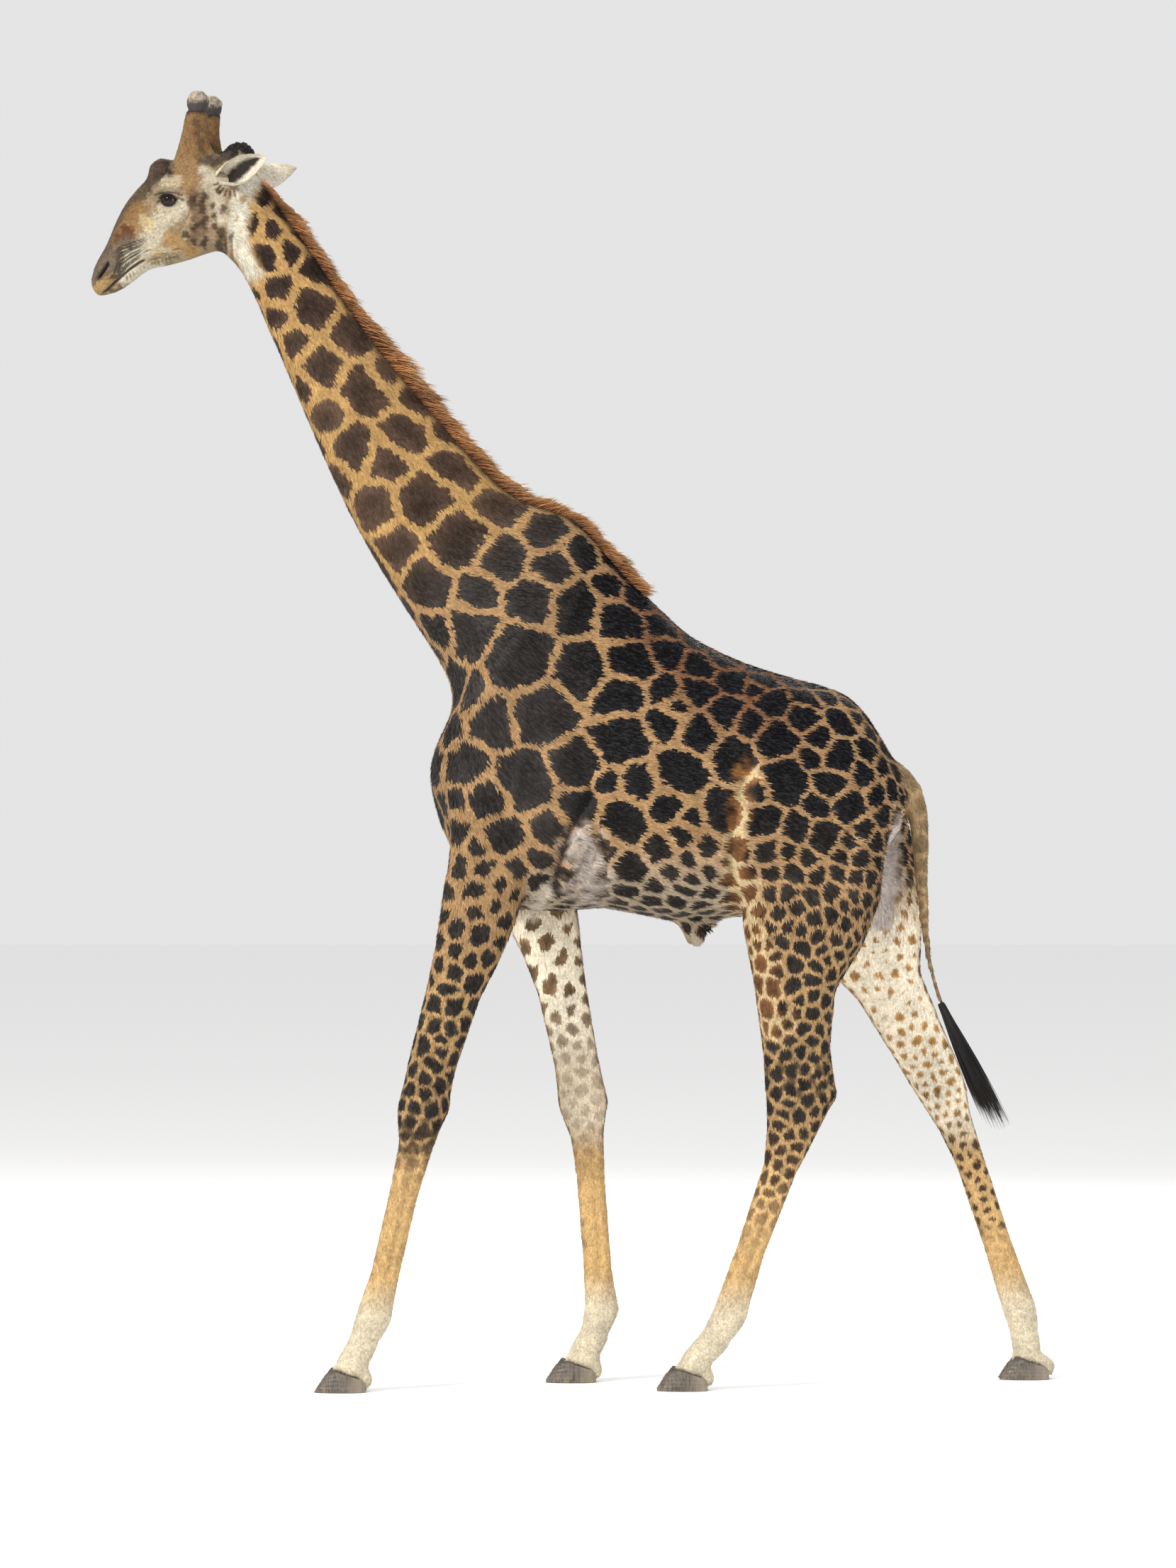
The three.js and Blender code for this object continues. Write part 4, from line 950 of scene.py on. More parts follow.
# the head has no net: its colours are laid one over another, as (half width, strength, colour, line)
q = from_the_left(p)
wobble = np.sin(q[:, 0] * 130 + 2 * np.sin(q[:, 2] * 90))
wobble += np.sin(q[:, 2] * 170 + 2 * np.sin(q[:, 0] * 110))
wobble += 0.6 * np.sin(q[:, 0] * 420 + 1.5 * np.sin(q[:, 2] * 350)) + 0.6 * np.sin(q[:, 2] * 460)
on_head = head_share(p)
white_throat = [(-1.15, 4.29), (-1.19, 4.21), (-1.20, 4.12), (-1.18, 4.03), (-1.15, 3.97)]
throat = stroke(q, white_throat, 0.028, 0.048, 0.004 * wobble)
ink = ink * (1 - on_head) * (1 - throat)
tint(ground, (176, 152, 120), on_head)
HEAD_COLOURS = [
    (0.060, 1.0, (168, 134, 92), [(-1.40, 4.46), (-1.37, 4.38), (-1.39, 4.30)]),
    (0.060, 1.0, (146, 112, 74), [(-1.33, 4.54), (-1.34, 4.42)]),
    (0.014, 0.8, (98, 76, 54), [(-1.345, 4.50), (-1.335, 4.44), (-1.325, 4.39)]),
    (0.035, 0.8, (178, 148, 108), [(-1.30, 4.34), (-1.26, 4.30)]),
    (0.040, 1.0, (64, 50, 43), [(-1.475, 4.345), (-1.46, 4.31)]),
    (0.030, 0.95, (92, 76, 62), [(-1.49, 4.34), (-1.54, 4.26), (-1.61, 4.18), (-1.66, 4.09),
        (-1.71, 4.01)]),
    (0.040, 0.8, (158, 120, 74), [(-1.56, 4.19), (-1.59, 4.14), (-1.62, 4.09)]),
    (0.022, 0.95, (104, 64, 36), [(-1.60, 4.125), (-1.59, 4.105), (-1.625, 4.10)]),
    (0.048, 0.95, (116, 100, 84), [(-1.60, 4.06), (-1.65, 4.01), (-1.70, 3.96)]),
    (0.026, 1.0, (218, 200, 166), [(-1.455, 4.283), (-1.42, 4.288)]),
    # a thin darker line under the bony rim over the eye: painted shade in the brow crease
    (0.009, 0.8, (168, 150, 128), [(-1.49, 4.262), (-1.455, 4.266), (-1.40, 4.256)]),
    (0.038, 1.0, (220, 208, 182), [(-1.44, 4.20), (-1.47, 4.15), (-1.50, 4.10), (-1.54, 4.05),
        (-1.58, 4.00)]),
    (0.026, 1.0, (220, 208, 182), [(-1.40, 4.205), (-1.41, 4.17)]),
    (0.016, 0.8, (226, 206, 166), [(-1.375, 4.10), (-1.40, 4.07), (-1.44, 4.05), (-1.50, 4.04)]),
    (0.022, 0.9, (214, 194, 148), [(-1.535, 4.155), (-1.515, 4.135)]),
    (0.030, 0.8, (198, 156, 98), [(-1.44, 4.09), (-1.40, 4.06), (-1.37, 4.05)]),
    (0.014, 0.8, (190, 170, 135), [(-1.52, 4.02), (-1.46, 4.02), (-1.40, 4.035)]),
    (0.026, 0.75, (120, 92, 70), [(-1.36, 4.24), (-1.34, 4.18), (-1.33, 4.12), (-1.36, 4.09)]),
    (0.030, 0.9, (212, 198, 172), [(-1.30, 4.28), (-1.27, 4.22), (-1.26, 4.16)]),
    (0.022, 0.9, (222, 210, 186), [(-1.32, 4.33), (-1.28, 4.30), (-1.24, 4.29)]),
    (0.018, 1.0, (176, 146, 94), [(-1.74, 3.90), (-1.70, 3.925), (-1.655, 3.952)]),
    (0.015, 0.9, (112, 94, 62), [(-1.67, 3.895), (-1.63, 3.915), (-1.60, 3.94)]),
    (0.024, 1.0, (234, 222, 196), [(-1.61, 3.955), (-1.55, 3.972), (-1.49, 3.985)]),
    (0.016, 0.8, (212, 198, 172), [(-1.60, 4.045), (-1.575, 4.03), (-1.55, 4.015)]),
    (0.013, 0.9, (104, 76, 56), [(-1.46, 3.975), (-1.38, 3.985), (-1.30, 4.02), (-1.26, 4.04)]),
    (0.034, 1.0, (232, 224, 204), white_throat),
]
HEAD_SPOTS = [
    (-1.358, 4.217, 0.018), (-1.322, 4.233, 0.016), (-1.324, 4.189, 0.017), (-1.316, 4.147, 0.018),
    (-1.350, 4.130, 0.017), (-1.383, 4.100, 0.016), (-1.288, 4.200, 0.010), (-1.282, 4.165, 0.012),
    (-1.280, 4.125, 0.012), (-1.318, 4.075, 0.014), (-1.355, 4.070, 0.011), (-1.258, 4.106, 0.020),
    (-1.262, 4.066, 0.020), (-1.249, 4.190, 0.014), (-1.268, 4.255, 0.009), (-1.222, 4.093, 0.010),
]
THROAT_SPOTS = [(-1.178, 4.226, 0.015), (-1.201, 4.152, 0.009)]
for width, strength, look, line in HEAD_COLOURS:
    reach = np.maximum(on_head, throat) if line is white_throat else on_head
    tint(ground, look, strength * reach * stroke(q, line, 0.55 * width, 1.35 * width, 0.0035 * wobble))
for sx, sz, half in HEAD_SPOTS:
    gap = np.hypot(q[:, 0] - sx, (q[:, 2] - sz) * 0.75)
    tint(ground, (66, 51, 42), 0.85 * on_head * (1 - ramp(0.5 * half, 1.25 * half, gap + 0.0028 * wobble)))
for sx, sz, half in THROAT_SPOTS:
    gap = np.hypot(q[:, 0] - sx, q[:, 2] - sz)
    tint(ground, (186, 154, 112), throat * (1 - ramp(0.5 * half, 1.3 * half, gap + 0.002 * wobble)))
# a dark ring below each bald knob, and the dark crest behind the horns
tint(ground, (52, 46, 43), on_head * ramp(4.520, 4.542, z + 0.002 * wobble))
crest_line = [(-1.235, 4.395), (-1.20, 4.43), (-1.16, 4.41)]
tint(ground, (46, 40, 40), on_head * stroke(q, crest_line, 0.022, 0.04, 0.003 * wobble))
horn_foot = [(-1.33, 4.365), (-1.28, 4.36), (-1.24, 4.385)]
tint(ground, (92, 78, 70), 0.85 * on_head * stroke(q, horn_foot, 0.010, 0.024, 0.003 * wobble))
# bare dark skin along the lids, darkest at the two corners, and the shade that gathers in the wrinkles
lid_edge = read(skin.attributes["lid_edge"].data, "value", 1)
crease = read(skin.attributes["crease"].data, "value", 1)
tint(ground, (96, 83, 80), 0.75 * on_head * (1 - ramp(0.006, 0.014, lid_edge)))
tint(ground, (40, 34, 34), on_head * (1 - ramp(0.0025, 0.0065, lid_edge)))
# a dark line along the fold above the upper lid: painted shade in the fold
lid_fold = [(-1.496, 4.243), (-1.475, 4.249), (-1.45, 4.2515), (-1.42, 4.249), (-1.398, 4.240)]
tint(ground, (56, 48, 46), 0.8 * on_head * stroke(q, lid_fold, 0.0015, 0.006))
for corner in ([(-1.412, 4.230), (-1.402, 4.228), (-1.394, 4.222)], [(-1.470, 4.228), (-1.484, 4.218)]):
    tint(ground, (52, 45, 44), 0.8 * on_head * stroke(q, corner, 0.002, 0.008))
tint(ground, (44, 36, 30), 0.85 * np.clip(1.4 * crease, 0, 1))
# the whole head is painted a tenth darker: painted shade that tones down the stronger light falling on the
# head
ground = ground * (1 - 0.1 * on_head)[:, None]
# ears: cream outside, painted dark in the throat of the cup (dark skin and painted shade of the hollow), with
# a pale lower flap and a brown edge
leaf, along, turn = read(skin.attributes["ear"].data, "vector").T
tint(ground, (236, 226, 204), leaf > 0.5)
tint(ground, (170, 144, 108), (leaf > 0.5) * (leaf < 1.5) * ramp(0.7, 1.0, along) * 0.5)
slit = np.interp(along, [0, 0.5, 0.9], [-0.30, 0.05, 0.30])
slit_half = np.interp(along, [0, 0.35, 0.7, 0.9], [0.26, 0.46, 0.30, 0.06])
deep = ramp(1.15, 0.45, np.abs(turn - slit) / slit_half + 0.06 * wobble) * ramp(0.92, 0.80, along)
tint(ground, (44, 36, 34), (leaf > 1.5) * deep)
tint(ground, (112, 94, 70), (leaf > 0.5) * ramp(0.93, 1.0, np.abs(turn)) * 0.6)
ink = np.where(leaf > 0.5, 0, ink)

opaque = np.ones(len(p))
keep(skin, "ground", "FLOAT_COLOR", np.column_stack([ground, opaque]))
keep(skin, "patch", "FLOAT_COLOR", np.column_stack([patch, opaque]))
keep(skin, "marks", "FLOAT_VECTOR", np.column_stack([net, soft, ink]))
keep(skin, "patch_half", "FLOAT", half_width(p))
# ---- The hide: its paint ----
# One group draws the patches for the hide and for the tufts that stand on it. At each place it finds the two
# patches whose edges are nearest. The ground shows where they are almost equally near.


def feed(tree, socket, value):
    """Joins a socket to another one, or sets it to a plain value."""
    if isinstance(value, bpy.types.NodeSocket):
        tree.links.new(value, socket)
    else:
        socket.default_value = value


def node(tree, kind, fed=(), **settings):
    """A new node with its settings made, and its sockets fed by name or by number."""
    made = tree.nodes.new(kind)
    for setting, value in settings.items():
        setattr(made, setting, value)
    for socket, value in dict(fed).items():
        feed(tree, made.inputs[socket], value)
    return made


def sums(tree, operation, *values):
    return node(tree, "ShaderNodeMath", enumerate(values), operation=operation).outputs[0]


def vectors(tree, operation, *values):
    made = node(tree, "ShaderNodeVectorMath", enumerate(values), operation=operation)
    return made.outputs["Value" if operation in ("LENGTH", "DISTANCE") else "Vector"]


def scaled(tree, vector, factor):
    return node(tree, "ShaderNodeVectorMath", {0: vector, "Scale": factor}, operation="SCALE").outputs[0]


def apart(tree, vector):
    """The three numbers of a vector."""
    return node(tree, "ShaderNodeSeparateXYZ", {0: vector}).outputs


def noise(tree, place, scale, detail=2.0, rough=0.5):
    return node(tree, "ShaderNodeTexNoise",
                {"Vector": place, "Scale": scale, "Detail": detail, "Roughness": rough}).outputs


def named(tree, name):
    """A value stored with the mesh."""
    return node(tree, "ShaderNodeAttribute", attribute_name=name).outputs


def between(tree, value, low, high, new_low=0.0, new_high=1.0, smooth=True):
    return node(tree, "ShaderNodeMapRange", enumerate((value, low, high, new_low, new_high)),
                interpolation_type="SMOOTHSTEP" if smooth else "LINEAR").outputs[0]


def blend(tree, share, first, second):
    return node(tree, "ShaderNodeMix", {"Factor": share, "A": first, "B": second},
                data_type="RGBA", blend_type="MIX").outputs["Result"]


def relief(tree, shader, height, strength, distance):
    """Raises and sinks a surface by a pattern of heights."""
    raised = node(tree, "ShaderNodeBump", {"Strength": strength, "Distance": distance, "Height": height})
    feed(tree, shader.inputs["Normal"], raised.outputs["Normal"])


g = coat_group = bpy.data.node_groups.new("giraffe_markings", "ShaderNodeTree")
for name, way, kind in (("Place", "INPUT", "Vector"), ("Colour", "OUTPUT", "Color"),
                        ("Dark", "OUTPUT", "Float"), ("Height", "OUTPUT", "Float")):
    coat_group.interface.new_socket(name, in_out=way, socket_type="NodeSocket" + kind)
place = g.nodes.new("NodeGroupInput").outputs["Place"]
half = named(g, "patch_half")["Fac"]
# the place wanders in three sizes of wave, which makes the edges of the patches leafy
wander, leafy, ragged = (vectors(g, "SUBTRACT", noise(g, place, *wave)["Color"], (0.5, 0.5, 0.5))
                         for wave in ((9, 1), (52, 2, 0.6), (210, 2, 0.6)))
moved = vectors(g, "ADD", place, scaled(g, wander, sums(g, "MULTIPLY", half, 0.75)))
leafiness = between(g, half, 0.03, 0.08, 1.0, 0.62, False)
moved = vectors(g, "ADD", moved, scaled(g, leafy, sums(g, "MULTIPLY", half, leafiness)))
moved = vectors(g, "ADD", moved, scaled(g, ragged, 0.017))
size_of = named(g, "patch_reach")
reach = node(g, "ShaderNodeSeparateColor", {0: size_of["Color"]})
gaps = []
for k, reached in enumerate([*reach.outputs, size_of["Alpha"]]):
    far_off = vectors(g, "DISTANCE", moved, named(g, f"patch_centre_{k + 1}")["Vector"])
    gaps.append(sums(g, "SUBTRACT", far_off, reached))
low_1, low_2 = (sums(g, "MINIMUM", *pair) for pair in (gaps[:2], gaps[2:]))
high_1, high_2 = (sums(g, "MAXIMUM", *pair) for pair in (gaps[:2], gaps[2:]))
first = sums(g, "MINIMUM", low_1, low_2)
second = sums(g, "MINIMUM", sums(g, "MAXIMUM", low_1, low_2), sums(g, "MINIMUM", high_1, high_2))
width, soft_edge, strength = apart(g, named(g, "marks")["Vector"])
inside = sums(g, "SUBTRACT", sums(g, "SUBTRACT", second, first), width)
dark = between(g, inside, sums(g, "MULTIPLY", soft_edge, -1.0), soft_edge)
dark = sums(g, "MULTIPLY", dark, strength)
# the middle of a patch is darker than its rim, and no two are quite alike
depth = between(g, inside, 0.0, sums(g, "MULTIPLY", half, 1.3))
cloud = noise(g, place, 14, 3, 0.6)["Fac"]
tone = sums(g, "MULTIPLY_ADD", named(g, "patch_tone")["Fac"], 0.35, 0.72)
tone = sums(g, "MULTIPLY", tone, between(g, cloud, 0.3, 0.75, 0.75, 1.45))
tone = sums(g, "MULTIPLY", tone, between(g, depth, 0.0, 1.0, 1.25, 0.8))
hairs = noise(g, place, 330, 2, 0.7)["Fac"]
fleck = noise(g, place, 120, 3, 0.75)["Fac"]
patch_colour = scaled(g, named(g, "patch")["Color"], tone)
patch_colour = scaled(g, patch_colour, between(g, hairs, 0.3, 0.7, 0.72, 1.4, False))
ground_colour = scaled(g, named(g, "ground")["Color"], between(g, fleck, 0.32, 0.68, 0.64, 1.28, False))
ground_colour = scaled(g, ground_colour, between(g, cloud, 0.25, 0.75, 0.85, 1.12))
height = sums(g, "MULTIPLY_ADD", fleck, 0.6, sums(g, "MULTIPLY", hairs, 0.4))
colour = blend(g, dark, ground_colour, patch_colour)
node(g, "NodeGroupOutput", {"Colour": colour, "Dark": dark, "Height": height})

hide_paint, t, shader = new_paint("hide_paint")
place = node(t, "ShaderNodeTexCoord").outputs["Object"]
markings = node(t, "ShaderNodeGroup", {"Place": place}, node_tree=coat_group).outputs
feed(t, shader.inputs["Base Color"], markings["Colour"])
feed(t, shader.inputs["Roughness"], between(t, markings["Dark"], 0, 1, 0.85, 0.6))
relief(t, shader, markings["Height"], 0.5, 0.004)
shader.inputs["Sheen Weight"].default_value = 0.06
shader.inputs["Specular IOR Level"].default_value = 0.2


def finish(piece, material):
    """Gives a piece its paint and lets light run smoothly over its faces."""
    piece.data.materials.clear()
    piece.data.materials.append(material)
    piece.data.polygons.foreach_set("use_smooth", [True] * len(piece.data.polygons))


finish(hide, hide_paint)
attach(hide, "root")
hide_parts(*FLESH, "left_ear", "right_ear")

# ---- The short coat ----
# Hair two centimetres long lies flat over the hide, back along the body and down the legs. It is made as
# thin pointed tufts that overlap like thatch, each the colour of the hide where it is rooted.
# A piece has its region of the hide, the tufts per square metre, and their length, width and lift.
HEAD, NECK, LEFT_TRUNK, RIGHT_TRUNK, FORELEGS, HINDLEGS = range(6)
COAT_PIECES = {
    "head_coat": (HEAD, 74000, 0.0078, 0.0021, 0.13),
    "neck_coat": (NECK, 30000, 0.0160, 0.0044, 0.15),
    "left_trunk_coat": (LEFT_TRUNK, 16200, 0.0185, 0.0058, 0.14),
    "right_trunk_coat": (RIGHT_TRUNK, 16200, 0.0185, 0.0058, 0.14),
    "foreleg_coat": (FORELEGS, 31000, 0.0120, 0.0044, 0.07),
    "hindleg_coat": (HINDLEGS, 28000, 0.0120, 0.0044, 0.07),
}

p, out = points_of(skin), normals_of(skin)
s = straight_head(p)
on_head = head_share(p)
lie = np.tile([0.95, 0.0, -0.22], (len(p), 1))
lay(lie, [0.45, 0.0, -0.85], ramp(0.15, -0.35, p[:, 0]) * ramp(2.9, 2.4, p[:, 2]))
lay(lie, [0.57, 0.0, -0.82], neckward)
lay(lie, [0.0, 0.0, -1.0], ramp(1.95, 1.6, p[:, 2]) * (1 - ramp(0.3, 0.9, -out[:, 2])))
lay(lie, [0.75, -0.1, 0.6], on_head)
lay(lie, [0.9, 0.0, -0.3], on_head * ramp(-0.2, -0.05, s[:, 0]))
lay(lie, [0.1, 0.0, 1.0], on_head * ramp(4.36, 4.42, p[:, 2]) * ramp(-0.03, -0.08, s[:, 0]))
lay(lie, [0.3, 0.0, -1.0], ramp(1.14, 1.2, p[:, 0]) * (np.abs(p[:, 1]) < 0.06))
ear_way = turned_head(EAR_TIP[None] * [1, -1, 1]) - turned_head(EAR_ROOT[None] * [1, -1, 1])
ear_way = np.where(p[:, 1:2] < 0.0, ear_way, turned_head(EAR_TIP[None]) - turned_head(EAR_ROOT[None]))
lie = np.where((leaf > 0.5)[:, None], ear_way, lie)
lie -= out * (lie * out).sum(1)[:, None]
lie = relax(lie, edges_of(skin), 6)
lie /= np.linalg.norm(lie, axis=1).clip(1e-6)[:, None]

bare = (crease > 0.35) | (lid_edge < 0.006) | ((leaf > 1.5) & (np.abs(turn) < 0.8))
bare |= off_line(from_the_left(p), mouth)[0] < 0.004
wool = np.where(bare, 0.0, 1.0)
wool *= 1 - 0.5 * on_head * ramp(-0.40, -0.46, s[:, 0])
wool *= 1 - 0.85 * on_head * ramp(0.06, 0.25, crease)
wool *= 1 - 0.5 * on_head * ramp(0.02, 0.008, np.abs(lid_edge))
size = np.where(p[:, 2] < 0.3, 0.6, 1.0) * np.where(on_tail(p), 0.7, 1.0)
size *= 1 - 0.35 * on_head * ramp(-0.25, -0.40, s[:, 0])
keep(skin, "lie", "FLOAT_VECTOR", lie)
keep(skin, "wool", "FLOAT", wool)
keep(skin, "tuft_size", "FLOAT", size)

m = face_middles(skin)
region = np.where(m[:, 1] < 0, LEFT_TRUNK, RIGHT_TRUNK)
region[(down_neck(m) < 1.45) & (m[:, 2] > 2.5)] = NECK
region[(head_share(m) > 0.5) | (m[:, 0] < -1.3)] = HEAD
low = m[:, 2] < BELLY_Z
region[low & (m[:, 0] < LEG_PARTING_X)] = FORELEGS
region[low & (m[:, 0] > LEG_PARTING_X) & ((np.abs(m[:, 1]) > 0.06) | (m[:, 0] < 0.9))] = HINDLEGS
keep(skin, "region", "INT", region, "FACE")


def hair_tree(name, bed, values, result):
    """An empty tree that grows hair on a bed: the tree, its sockets for the modifier, and its inputs."""
    tree = bpy.data.node_groups.new(name, "GeometryNodeTree")
    sockets = {}
    for label, kind in ((bed, "Geometry"), *values, ("Seed", "Int"), ("Hair", "Material")):
        made = tree.interface.new_socket(label, in_out="INPUT", socket_type="NodeSocket" + kind)
        sockets[label] = made.identifier
    tree.interface.new_socket(result, in_out="OUTPUT", socket_type="NodeSocketGeometry")
    return tree, sockets, tree.nodes.new("NodeGroupInput").outputs


def stored(tree, name, kind="FLOAT"):
    return node(tree, "GeometryNodeInputNamedAttribute", {"Name": name}, data_type=kind).outputs["Attribute"]


def strewn(tree, fed):
    """Points strewn over a bed, each with the place of its root, and the way the bed faces there."""
    points = node(tree, "GeometryNodeDistributePointsOnFaces", fed, distribute_method="RANDOM").outputs
    at = node(tree, "GeometryNodeInputPosition").outputs[0]
    rooted = node(tree, "GeometryNodeStoreNamedAttribute",
                  {"Geometry": points["Points"], "Name": "root", "Value": at},
                  data_type="FLOAT_VECTOR", domain="POINT")
    return rooted.outputs["Geometry"], points["Normal"]


def straying(tree, most, seed):
    """A random way, up to a length along each axis."""
    return node(tree, "FunctionNodeRandomValue", {"Min": (-most,) * 3, "Max": (most,) * 3, "Seed": seed},
                data_type="FLOAT_VECTOR").outputs[0]


def chance(tree, low, high, seed):
    """A random number."""
    drawn = node(tree, "FunctionNodeRandomValue", {2: low, 3: high, "Seed": seed}, data_type="FLOAT")
    return drawn.outputs[1]


def turned(tree, way, facing):
    """The turn that points a hair one way and its flat side another."""
    along = node(tree, "FunctionNodeAlignRotationToVector", {"Vector": way}, axis="Z").outputs[0]
    return node(tree, "FunctionNodeAlignRotationToVector", {"Rotation": along, "Vector": facing},
                axis="Y", pivot_axis="Z").outputs[0]


def end_in_hair(tree, points, hair, turn, size, material):
    """One hair on every point, made real and given its paint."""
    laid = node(tree, "GeometryNodeInstanceOnPoints",
                {"Points": points, "Instance": hair, "Rotation": turn, "Scale": size})
    real = node(tree, "GeometryNodeRealizeInstances", {0: laid.outputs[0]})
    painted = node(tree, "GeometryNodeSetMaterial", {"Geometry": real.outputs[0], "Material": material})
    node(tree, "NodeGroupOutput", {0: painted.outputs[0]})


def grown_on(name, bed, tree, sockets, settings):
    """The hair that a tree grows on a bed."""
    piece = in_scene(name + "_bed", bed)
    growth = piece.modifiers.new("growth", "NODES")
    growth.node_group = tree
    for setting, value in settings.items():
        growth[sockets[setting]] = value
    made = result_of(piece)
    bpy.data.objects.remove(piece)
    return made


thatch, thatch_sockets, into = hair_tree(
    "thatch_of_tufts", "Skin", (("Region", "Int"), ("Tufts per square metre", "Float"), ("Length", "Float"),
                                ("Width", "Float"), ("Lift", "Float")), "Coat")
here = node(thatch, "FunctionNodeCompare", {"A": stored(thatch, "region", "INT"), "B": into["Region"]},
            data_type="INT", operation="EQUAL")
density = sums(thatch, "MULTIPLY", into["Tufts per square metre"], stored(thatch, "wool"))
points, facing = strewn(thatch, {"Mesh": into["Skin"], "Selection": here.outputs["Result"],
                                 "Density": density, "Seed": into["Seed"]})
way = vectors(thatch, "ADD", stored(thatch, "lie", "FLOAT_VECTOR"), straying(thatch, 0.22, into["Seed"]))
way = vectors(thatch, "ADD", way, scaled(thatch, facing, into["Lift"]))
grow = sums(thatch, "MULTIPLY", chance(thatch, 0.7, 1.3, sums(thatch, "ADD", into["Seed"], 11)),
            stored(thatch, "tuft_size"))
size = node(thatch, "ShaderNodeCombineXYZ", {"X": sums(thatch, "MULTIPLY", into["Width"], grow),
                                             "Y": sums(thatch, "MULTIPLY", into["Width"], 0.30),
                                             "Z": sums(thatch, "MULTIPLY", into["Length"], grow)})
tuft = node(thatch, "GeometryNodeMeshCone",
            {"Vertices": 3, "Radius Top": 0, "Radius Bottom": 0.58, "Depth": 1})
end_in_hair(thatch, points, tuft.outputs["Mesh"], turned(thatch, way, facing), size.outputs[0], into["Hair"])

coat_hair, t, shader = new_paint("coat_hair")
markings = node(t, "ShaderNodeGroup", {"Place": named(t, "root")["Vector"]}, node_tree=coat_group).outputs
feed(t, shader.inputs["Base Color"], markings["Colour"])
feed(t, shader.inputs["Roughness"], between(t, markings["Dark"], 0, 1, 0.8, 0.5))
shader.inputs["Specular IOR Level"].default_value = 0.06

UV_PATCH = 0.0015
CONE_PATCH = [(-1, -1), (1, -1), (0, 1), (0, 0)]


def unrolled(root, kind):
    """Where each root lies when its part of the hide is cut open and laid flat, 0 to 1 both ways."""
    x, y, z = root.T
    if kind in (LEFT_TRUNK, RIGHT_TRUNK):
        along, around = (x + 0.65) / 2.0, np.arctan2(z - 2.15, np.abs(y)) / math.pi + 0.5
    elif kind == NECK:
        middle = np.interp(down_neck(root), [-0.1, 1.6], [4.2, 2.72])
        along = (down_neck(root) + 0.15) / 1.75
        around = np.arctan2(y, (z - middle) * 1.2) / (2 * math.pi) + 0.5
    elif kind == HEAD:
        h = straight_head(root)
        level = np.interp(h[:, 0], [-0.54, -0.2, 0.1], [3.93, 4.16, 4.22])
        along = (h[:, 0] + 0.56) / 0.85
        around = np.arctan2(h[:, 1], h[:, 2] - level) / (2 * math.pi) + 0.5
    else:
        right = (y > 0).astype(float)
        level = (z / 0.05).astype(int) + 40 * right.astype(int)
        count = np.bincount(level, minlength=80).clip(1)
        mid_x = np.bincount(level, x, 80) / count
        mid_y = np.bincount(level, y, 80) / count
        turn = np.arctan2(y - mid_y[level], x - mid_x[level]) / (2 * math.pi) + 0.5
        along, around = z / 1.65, 0.5 * right + 0.5 * turn
    return np.clip(np.column_stack([along, around]), 0.01, 0.99)


def bake_map(piece, places, shape):
    """Gives each tuft its own small patch, round the place of its root on the laid-out hide."""
    mesh = piece.data
    places += UV_PATCH * np.tile(shape, (len(places) // len(shape), 1))
    loops = read(mesh.loops, "vertex_index", 1, np.int64)
    layer = mesh.uv_layers.new(name="OFBake")
    layer.data.foreach_set("uv", places[loops].astype(np.float32).ravel())


for name, (kind, density, length, width, lift) in COAT_PIECES.items():
    coat = in_scene(name, grown_on(name, skin, thatch, thatch_sockets, {
        "Region": kind, "Tufts per square metre": float(density), "Length": length, "Width": width,
        "Lift": lift, "Seed": 3 + kind, "Hair": coat_hair}))
    bake_map(coat, unrolled(read(coat.data.attributes["root"].data, "vector"), kind), CONE_PATCH)
    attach(coat, "root")

# ---- The mane ----
# A stiff upright brush of rust-coloured hair, rooted in a strip along the crest of the neck from the poll to
# the withers. A thin blade of close hair stands in its middle, and loose locks lean back from it and make
# the ragged edge.
MANE_STATIONS = 150
MANE_BED_HALF = 0.015
MANE_Y = -0.011
LOCK_RINGS = 4

locks, lock_sockets, into = hair_tree(
    "locks_on_a_bed", "Bed", (("Locks per square metre", "Float"), ("Length", "Float"),
                              ("Thickness", "Float"), ("Bend", "Float"), ("Spread", "Float"),
                              ("Shortest", "Float")), "Locks")
points, _ = strewn(locks, {"Mesh": into["Bed"], "Density": into["Locks per square metre"],
                           "Seed": into["Seed"]})
way = scaled(locks, straying(locks, 1.0, into["Seed"]), into["Spread"])
way = vectors(locks, "ADD", stored(locks, "lie", "FLOAT_VECTOR"), way)
grow = sums(locks, "MULTIPLY", chance(locks, into["Shortest"], 1.0, sums(locks, "ADD", into["Seed"], 5)),
            stored(locks, "tuft_size"))
grow = sums(locks, "MULTIPLY", grow, into["Length"])
end = node(locks, "ShaderNodeCombineXYZ", {"Y": into["Bend"], "Z": 1.0}).outputs[0]
spine = node(locks, "GeometryNodeCurveQuadraticBezier",
             {"Resolution": LOCK_RINGS, "Start": (0, 0, 0), "Middle": (0, 0, 0.55), "End": end})
along_lock = node(locks, "GeometryNodeSplineParameter").outputs["Factor"]
thinning = sums(locks, "POWER", sums(locks, "SUBTRACT", 1.04, along_lock), 0.8)
thick = sums(locks, "MULTIPLY", thinning, sums(locks, "DIVIDE", into["Thickness"], into["Length"]))
girth = node(locks, "GeometryNodeSetCurveRadius", {"Curve": spine.outputs[0], "Radius": thick})
tipped = node(locks, "GeometryNodeStoreNamedAttribute",
              {"Geometry": girth.outputs[0], "Name": "tip", "Value": along_lock},
              data_type="FLOAT", domain="POINT")
ring = node(locks, "GeometryNodeCurvePrimitiveCircle", {"Resolution": 3, "Radius": 0.5})
strand = node(locks, "GeometryNodeCurveToMesh",
              {"Curve": tipped.outputs[0], "Profile Curve": ring.outputs[0],
               "Scale": thick, "Fill Caps": True})
leaning = turned(locks, way, stored(locks, "droop", "FLOAT_VECTOR"))
end_in_hair(locks, points, strand.outputs[0], leaning, grow, into["Hair"])


